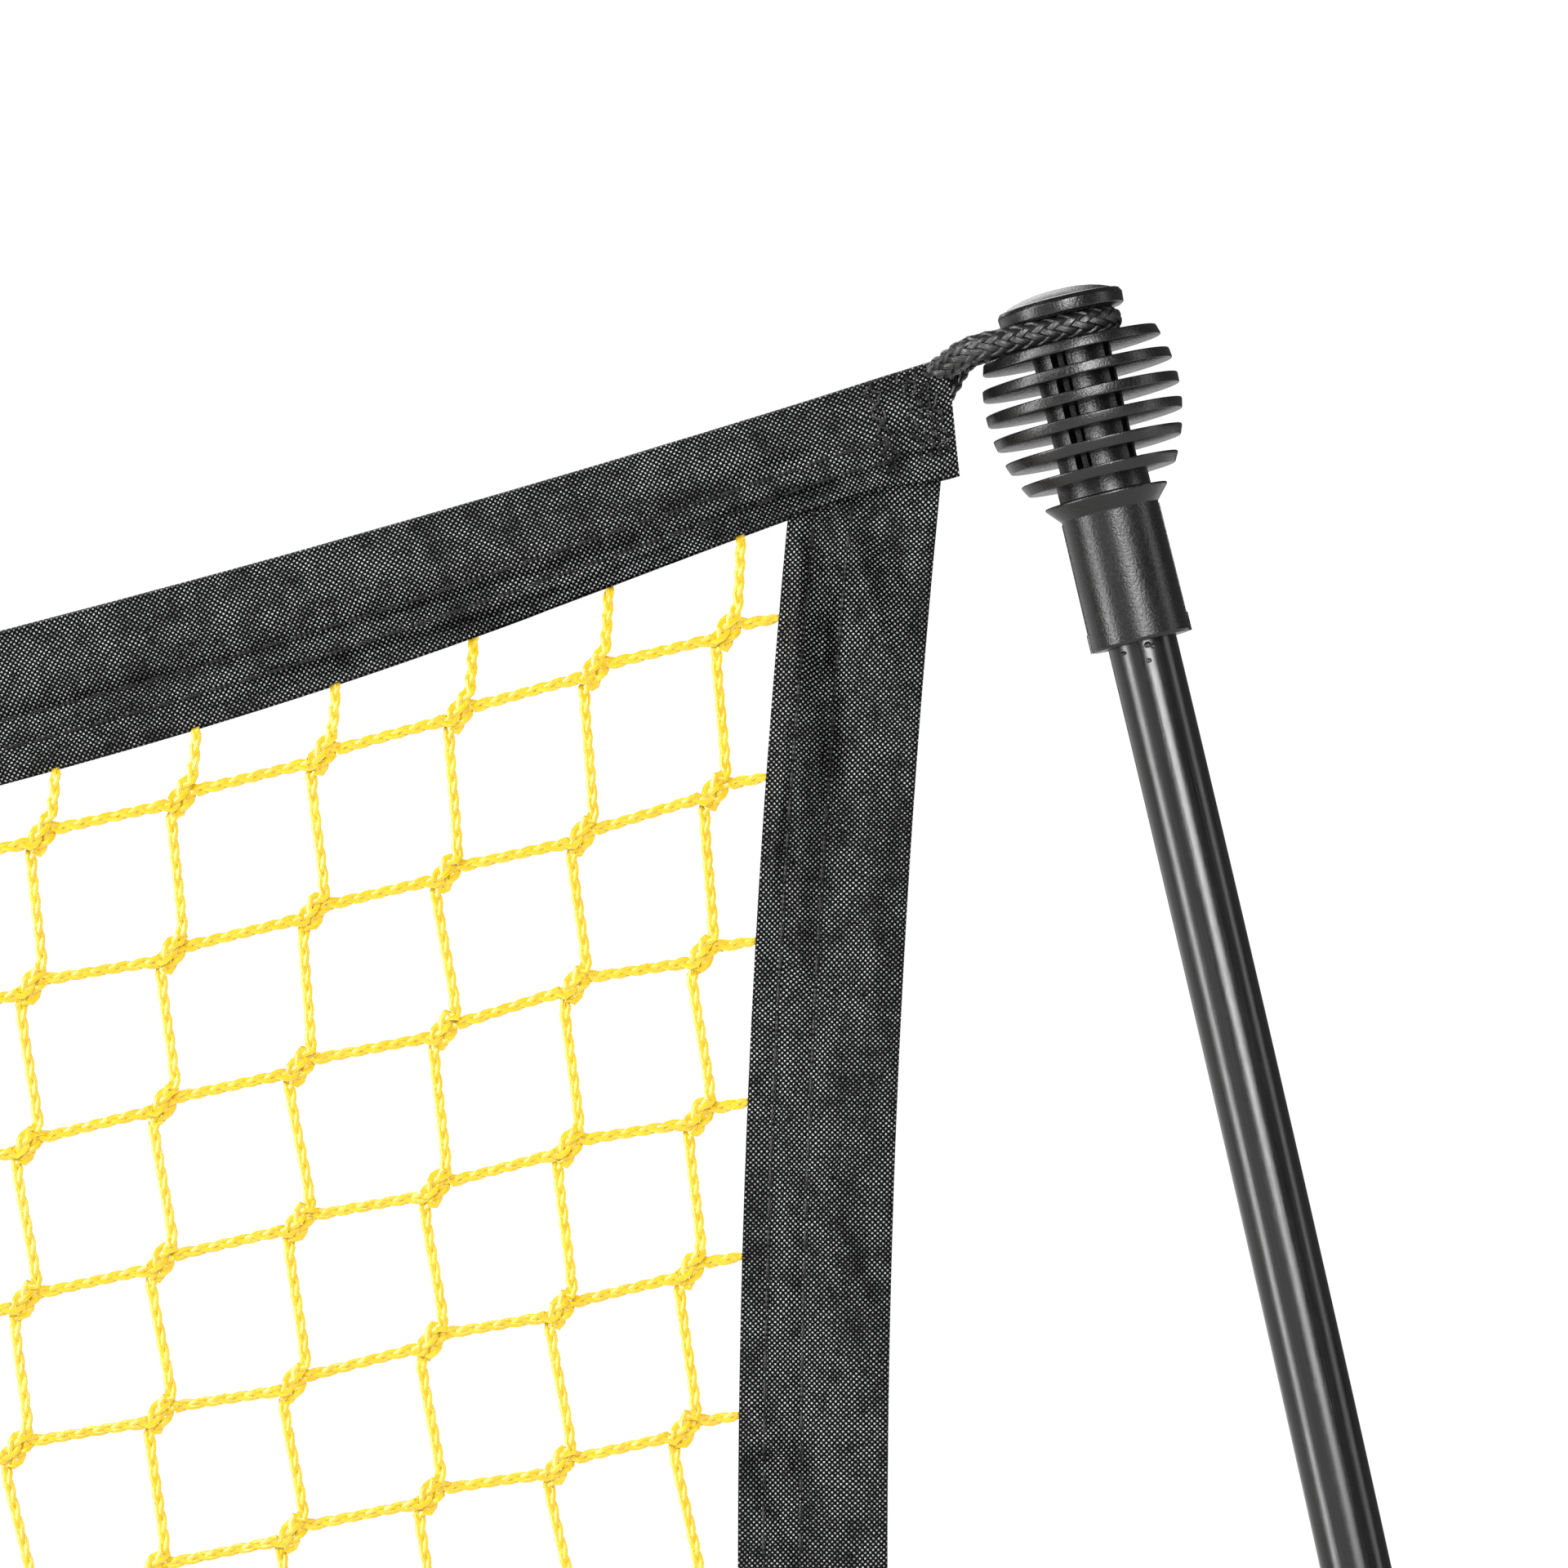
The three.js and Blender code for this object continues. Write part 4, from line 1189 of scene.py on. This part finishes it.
def add_sleeve_cords():
    """The three-strand cords in the top and bottom sleeves, between the loops' ends."""
    edges = (("top", TOP_EDGE, TOP_HALF, 1), ("bottom", BOTTOM_EDGE, BOTTOM_HALF, -1))
    for place, curve, half, sign in edges:
        x = np.linspace(SLEEVE_CORD["inset"] - half, half - SLEEVE_CORD["inset"], 320)
        slope = curve.deriv()(x)
        inward = np.stack([slope, 0 * x, -np.ones_like(x)], axis=1) / np.sqrt(1 + slope**2)[:, None] * sign
        path = np.stack([x, 0 * x, curve(x)], axis=1) + SLEEVE_CORD["depth"] * inward
        strands = []
        normal, binormal = frames_along(path)
        for k in range(3):
            a = 2 * math.pi * (lengths_along(path) / SLEEVE_CORD["pitch"] + k / 3)
            offset = SLEEVE_CORD["offset"] * (np.cos(a)[:, None] * normal + np.sin(a)[:, None] * binormal)
            strands.append(sweep(path + offset, normal, binormal, ring(SLEEVE_CORD["strand"], 8)))
        make(f"{place}_sleeve_cord", joined(strands), ROPE, f"{place}_cord")


add_loops()
add_sleeve_cords()
add_hem("top", *TOP_HEM)
add_hem("bottom", *BOTTOM_HEM)
add_side_tapes()
add_netting()


# ---- The base ----
def hexagon(across_flats, low, high, chamfer=0.5):
    """A hexagon head with its top edge turned down."""
    corners = ring(across_flats / math.sqrt(3), 6)
    path = np.array([[0, 0, low], [0, 0, low + 0.2], [0, 0, high - chamfer], [0, 0, high]], float)
    dense = np.concatenate([np.linspace(corners[k], corners[(k + 1) % 6], 5)[:-1] for k in range(6)])
    return sweep(path, *level_axes(4), np.array([0.97, 1, 1, 0.93])[:, None, None] * dense)


def screw_thread(radius, depth, pitch, low, high, sides=24):
    """A bolt's shank with its thread as a low helical ridge."""
    turns = (high - low) / pitch
    a = np.linspace(0, 2 * math.pi * turns, round(turns * sides))
    z = np.linspace(low, high, len(a))
    helix = np.stack([(radius - depth) * np.cos(a), (radius - depth) * np.sin(a), z], axis=1)
    out = unit(helix * [1, 1, 0])
    ridge = sweep(helix, out, np.tile([0, 0, 1.0], (len(a), 1)), ring(depth, 6, 0.9 * pitch / depth / 2))
    core = turned([(0, low - 0.3), (radius - depth, low - 0.3), (radius - depth, high), (0, high)], sides)
    return joined([core, ridge])


RAIL = {  # radii, then places
    "radius": 11.0, "bore": 9.5, "plug": 9.1, "plug_bore": 7.6,
    "z": 30.0, "button_x": 280.0, "screw_x": 667.0,
}
HOLES = {"button": 3.4, "screw": 2.2}  # radii


def cut_with(obj, tools):
    """Cuts the tools' shapes out of a piece, and removes the tools."""
    for tool in tools:
        cut = obj.modifiers.new("hole", "BOOLEAN")
        cut.operation, cut.solver, cut.object = "DIFFERENCE", "EXACT", tool
    bpy.context.view_layer.update()
    made = bpy.data.meshes.new_from_object(obj.evaluated_get(bpy.context.evaluated_depsgraph_get()))
    obj.modifiers.clear()
    obj.data = made
    for tool in tools:
        bpy.data.objects.remove(tool, do_unlink=True)


def drill(radius, x):
    """A cutting tool for a hole in the top of a rail."""
    low, high = RAIL["z"], RAIL["z"] + 20
    shape = shifted(turned([(0, low), (radius, low), (radius, high), (0, high)], 40), x=x)
    mesh = bpy.data.meshes.new("drill")
    mesh.from_pydata((shape.points * MM).tolist(), [], [*shape.quads.tolist(), *shape.tris.tolist()])
    return linked("drill", mesh)


def add_rails():
    z = RAIL["z"]
    centre_low, centre_high = (c[0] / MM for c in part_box("base_rail_centre"))
    centre = shifted(along_x(pipe(RAIL["radius"], RAIL["bore"], centre_low, centre_high)), z=z)
    obj = make("rail_centre_tube", centre, COATED, "base_rail_centre")
    cut_with(obj, [drill(HOLES["button"], s * RAIL["button_x"]) for s in (1, -1)])
    start, end = (c[0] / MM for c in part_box("base_rail_right"))
    shoulder = centre_high + 0.3
    radius, plug, bore = RAIL["radius"], RAIL["plug"], RAIL["plug_bore"]
    profile = [(bore, start), (plug - 0.8, start), (plug, start + 2.5), (plug, shoulder), (radius, shoulder)]
    profile += [(radius, end), (bore, end)]
    rail = shifted(along_x(turned(filleted(profile, 0.35, 3, True), 56, closed=True)), z=z)
    for side, sign in SIDES:
        obj = make(f"rail_tube_{side}", on_side(rail, sign), COATED, f"base_rail_{side}")
        cut_with(obj, [drill(HOLES[at], sign * RAIL[f"{at}_x"]) for at in ("button", "screw")])


def snap_button():
    """A pressed steel button with a flange that stops it inside the tube."""
    profile = [(0, 4.9), (4.3, 4.9), (4.3, 5.8), (3.05, 5.8), (3.0, 13.0), (2.6, 14.4), (1.6, 14.85)]
    return turned([*filleted(profile, 0.25), (0, 14.9)], 40)


def spring_leaf():
    """A leaf of spring steel bent back on itself: one leg under the button, one on the plug's floor."""
    top_leg = [(-7, 4.2), (8, 2.4), (20, 0.7), (33, -1.0)]
    bend = [(37.2, -1.0)]
    floor_leg = [(33, -1.4), (20, -3.0), (8, -4.8), (-7, -6.2)]
    path = smooth([(x, 0, z) for x, z in top_leg + bend + floor_leg], 0.8)
    side = np.tile([0, 1.0, 0], (len(path), 1))
    normal = unit(np.cross(side, unit(np.gradient(path, axis=0))))
    return sweep(path, normal, side, filleted([(-0.3, -3), (0.3, -3), (0.3, 3), (-0.3, 3)], 0.15, 2, True))


def rail_screw():
    """A cross-recessed pan screw that goes down through the hub into its rail."""
    head = [(0, 18.3), (3.8, 18.3), (3.85, 19.2), (3.5, 20.1), (2.6, 20.7), (1.3, 20.95), (0, 21)]
    return joined([turned(filleted(head, 0.15), 40), screw_thread(1.8, 0.22, 0.9, 9.2, 18.4)])


def add_rail_fittings():
    button, spring = (shifted(s, x=RAIL["button_x"], z=RAIL["z"]) for s in (snap_button(), spring_leaf()))
    screw = shifted(rail_screw(), x=RAIL["screw_x"], z=RAIL["z"])
    for side, sign in SIDES:
        make(f"button_{side}_cap", on_side(button, sign), ZINC, f"snap_button_{side}", f"button_{side}")
        make(f"spring_{side}_leaf", on_side(spring, sign), ZINC, f"button_spring_{side}")
        obj = make(f"screw_{side}_pan", on_side(screw, sign), ZINC, f"rail_screw_{side}")
        bars = ((3.6, 0.9), (0.9, 3.6))
        cut_with(obj, [recess_bar(sign * RAIL["screw_x"], RAIL["z"] + 20.3, *size) for size in bars])


def recess_bar(x, z, long, wide):
    """A cutting tool for one bar of a screw's cross recess."""
    mesh = bpy.data.meshes.new("drill")
    made = bmesh.new()
    size = Matrix.Diagonal((long * MM, wide * MM, 2 * MM, 1))
    bmesh.ops.create_cube(made, size=1.0, matrix=Matrix.Translation(Vector((x, 0, z + 1)) * MM) @ size)
    made.to_mesh(mesh)
    made.free()
    return linked("drill", mesh)


ENDS = (("front", -1), ("back", 1))
PIVOT = {"x": 715.0, "y": 34.0, "z": 20.0}
FOOT = {"tube": 9.5, "bore": 8.0, "from": 18.0, "long": 240.0}


def foot_boot():
    """A moulded rubber boot: ribbed sleeve, closed end and a flat sole."""
    start, end = FOOT["long"] - 36, FOOT["long"]
    # Its outside runs down to the axis, and comes back along its inside to where it starts.
    outer = [(FOOT["tube"] + 0.3, start), (12.0, start), (12.3, start + 1.5)]
    for k in range(4):
        at = start + 5 + 5 * k
        outer += [(12.4, at), (11.75, at + 0.5), (11.75, at + 1.5), (12.45, at + 2)]
    outer += [(12.8, end - 3), (11.2, end), (0, end), (0, end - 4.4), (FOOT["tube"] + 0.3, end - 4.4)]
    sleeve = turned(filleted(outer, 0.45, 3), 64, closed=True)
    half, toe = 9.6, end - 0.9
    sole = [(start, -half), (toe - 3, -half), (toe, 3 - half)]
    sole += [(x, -y) for x, y in sole[::-1]]
    return joined([along_x(sleeve), eased(filleted(sole, 2.5, 4, True), -PIVOT["z"], -4.0, 0.8)])


def add_feet():
    leg = along_x(pipe(FOOT["tube"], FOOT["bore"], FOOT["from"], FOOT["long"] - 5))
    boot = foot_boot()
    washer = pipe(6.2, 3.0, 34.5, 34.8, 0.1, 32)
    bolt = joined([hexagon(10, 34.8, 38.8), screw_thread(3.0, 0.3, 1.0, 1.3, 34.9), washer])
    nut = hexagon(10, 1.4, 6.2, 0.6)
    for side, sign in SIDES:
        for end, way in ENDS:
            place, tail = foot_place(sign, way), f"{side}_{end}"
            make(f"leg_{tail}", leg.moved(place), COATED, f"foot_tube_{tail}", f"foot_{tail}")
            make(f"boot_{tail}", boot.moved(place), RUBBER, f"foot_boot_{tail}", f"foot_{tail}")
            for name, shape in (("bolt", bolt), ("nut", nut)):
                standing = shifted(shape, sign * PIVOT["x"], way * PIVOT["y"])
                make(f"{name}_{tail}", standing, ZINC, f"pivot_{name}_{tail}")


def eased(outline, low, high, ease, steps=4):
    """A solid with an outline, from z = low to z = high, whose end edges are rounded by ease."""
    outline = np.asarray(outline, float)
    middle = (outline.max(0) + outline.min(0)) / 2
    half = (outline.max(0) - outline.min(0)) / 2
    a = np.linspace(0, math.pi / 2, steps + 1)
    z = np.concatenate([low + ease * (1 - np.sin(a)), high - ease * (1 - np.sin(a[::-1]))])
    inset = ease * np.concatenate([1 - np.cos(a), 1 - np.cos(a[::-1])])
    order = np.argsort(z)
    z, inset = z[order], inset[order]
    section = (outline - middle) * (1 - inset[:, None, None] / half)
    path = np.stack([0 * z + middle[0], 0 * z + middle[1], z], axis=1)
    return sweep(path, *level_axes(len(z)), section)


def upright(outline, half, ease):
    """A solid with an X-Z outline, centred on y = 0."""
    return eased(outline, -half, half, ease).moved([[1, 0, 0], [0, 0, -1], [0, 1, 0]])


HUB = {"from": 655.0, "to": 752.0, "half": 20.0, "bottom": 4.0, "top": 48.0}
LUGS = {"radius": 12.0, "heights": ((6.5, 11.5), (28.5, 34.5))}


def lug_outline(way):
    """A lug on the hub's front or back, seen from above."""
    arc = [(math.cos(a), math.sin(a)) for a in np.linspace(0, math.pi, 25)]
    radius, root = LUGS["radius"], way * (HUB["half"] - 2)
    points = [(PIVOT["x"] + radius * c, way * (PIVOT["y"] + radius * t)) for c, t in arc]
    points = [(PIVOT["x"] + radius, root), *points, (PIVOT["x"] - radius, root)]
    return points if way > 0 else points[::-1]


def hub_shape():
    """The corner hub: a solid block with a leaning socket for the pole, a gusset and two pairs of lugs."""
    low_end, high_end = rod_path(ROD_LOW, ROD_LOW + 40, 10.0)[[-1, 0]]
    place = frame_on(unit(high_end - low_end), low_end)
    start, end, bottom, top = (HUB[key] for key in ("from", "to", "bottom", "top"))
    tower = [(5.05, -8), (13, -8), (12.3, 50), (12.9, 51), (12.8, 55), (12.0, 56), (11.8, 66.2), (10.6, 68)]
    tower += [(5.6, 68), (5.05, 67)]
    body = [(start, bottom), (end - 6, bottom), (end, bottom + 8), (end, top - 10), (end - 8, top)]
    body += [(start + 4, top), (start, top - 4)]
    gusset = [(start + 22, 44), (low_end[0] + 10, 44), (low_end[0] + 21, 80)]
    shapes = [
        upright(filleted(body, 2.4, 4, True), HUB["half"], 1.6),
        turned(filleted(tower, 0.8, 3, True), 72, closed=True).moved(place),
        upright(filleted(gusset, 1.2, 3, True), 3.0, 0.8),
        shifted(along_x(pipe(14.2, 11.4, start - 1.6, start + 2, 0.7, 64)), z=RAIL["z"]),
        shifted(pipe(5.6, 2.3, top - 1, top + 0.28, 0.25, 40), x=RAIL["screw_x"]),
    ]
    for way in (-1, 1):
        for low, high in LUGS["heights"]:
            shapes.append(eased(filleted(lug_outline(way), 0.8, 2, True), low, high, 0.9))
    return joined(shapes)


def knuckle_shape():
    """The block that turns between a hub's lugs, with a spigot for its leg."""
    arc = [(10.5 * math.cos(a), 10.5 * math.sin(a)) for a in np.linspace(math.pi / 2, 1.5 * math.pi, 25)]
    block = eased(filleted([*arc, (17.7, -9), (17.7, 9)], 0.8, 2, True), -8.2, 8.2, 0.9)
    spigot = along_x(turned(filleted([(0, 8), (7.7, 8), (7.7, 46), (0, 46)], 0.6), 48))
    return joined([block, spigot])


def add_hubs():
    hub, knuckle = hub_shape(), knuckle_shape()
    pad_outline = [(HUB["from"] + 6, -16), (HUB["to"] - 10, -16), (HUB["to"] - 10, 16), (HUB["from"] + 6, 16)]
    pad = eased(filleted(pad_outline, 4.0, 5, True), 0.0, HUB["bottom"] - 0.3, 0.8)
    for side, sign in SIDES:
        make(f"hub_{side}_body", on_side(hub, sign), NYLON, f"hub_{side}")
        make(f"pad_{side}", on_side(pad, sign), RUBBER, f"hub_pad_{side}")
        for end, way in ENDS:
            tail = f"{side}_{end}"
            shape = knuckle.moved(foot_place(sign, way))
            make(f"knuckle_{tail}", shape, NYLON, f"foot_knuckle_{tail}", f"foot_{tail}")


def foot_place(sign, way):
    """Where a foot sits: its own +X runs out from its pivot."""
    place = np.eye(4)
    place[:3, :3] = np.array(Matrix.Rotation(math.radians(90 * way), 3, "Z"))
    place[:3, 3] = (PIVOT["x"], way * PIVOT["y"], PIVOT["z"])
    return np.diag([sign, 1, 1, 1.0]) @ place


add_rails()
add_rail_fittings()
add_feet()
add_hubs()


# ---- Floor, light ----
def add_stage():
    """A plain pale floor. It glows more, and is lit less, further out, so that it fades into the surround."""
    mesh = bpy.data.meshes.new("floor")
    made = bmesh.new()
    bmesh.ops.create_circle(made, cap_ends=True, radius=14.0, segments=96)
    made.to_mesh(mesh)
    made.free()
    paint = Paint("pale_floor", roughness=0.9, specular_ior_level=0.1)
    away = paint.node("ShaderNodeVectorMath", {0: paint.place()}, out=1, operation="LENGTH")
    speckle = paint.noise(paint.place(), 3.0, 2.0)
    near = paint.mixed(speckle, grey(0.4), grey(0.43))
    paint.shader.inputs["Emission Color"].default_value = grey(1.0)
    paint.set(paint.shader.inputs["Emission Strength"], paint.ranged(away, 1.0, 6.0, 0.42, 1.0))
    color = paint.mixed(paint.ranged(away, 1.0, 6.0, 0.0, 1.0), near, grey(0.05))
    mesh.materials.append(paint.wear(base_color=color))
    linked("floor", mesh)


def add_light(name, place, aim, size, power):
    data = bpy.data.lights.new(name, "AREA")
    data.shape, data.size, data.size_y, data.energy = "RECTANGLE", size[0], size[1], power
    obj = linked(name, data)
    obj.location = place
    obj.rotation_euler = (Vector(place) - Vector(aim)).to_track_quat("Z", "Y").to_euler()
    obj.visible_camera = False


def add_world(seen, cast):
    """A white surround that lights the scene less than its own brightness."""
    world = bpy.data.worlds.new("studio")
    world.use_nodes = True
    nodes, links = world.node_tree.nodes, world.node_tree.links
    background = nodes["Background"]
    background.inputs["Color"].default_value = grey(1.0)
    ray = nodes.new("ShaderNodeLightPath")
    level = nodes.new("ShaderNodeMapRange")
    level.inputs["To Min"].default_value, level.inputs["To Max"].default_value = cast, seen
    links.new(ray.outputs["Is Camera Ray"], level.inputs["Value"])
    links.new(level.outputs["Result"], background.inputs["Strength"])
    bpy.context.scene.world = world


def add_lights():
    """Tall key and front lights and a narrow glint for the corner, and broad soft ones for the whole net."""
    add_world(seen=1.05, cast=0.1)
    bpy.context.scene.view_settings.view_transform = "Standard"
    corner = TIP * MM
    # name, place from the corner, width and height in metres, power in watts
    near = (
        ("key", (-1.75, -0.8, 0.2), (0.5, 2.2), 38),
        ("front", (0.42, -2.0, 0.65), (0.7, 1.7), 54),
        ("glint", (0.12, -2.0, 0.6), (0.07, 1.6), 11),
        ("edge", (1.5, -0.2, 0.4), (0.3, 1.6), 4),
    )
    for name, offset, size, power in near:
        add_light(name, corner + np.array(offset), corner, size, power)
    add_light("behind", (-0.4, 2.6, 2.4), (0, 0, 0.5), (2.2, 1.6), 24)
    add_light("overhead", (-1.6, -2.6, 2.2), (-0.3, 0, 0.4), (1.6, 1.6), 30)


add_stage()
add_lights()
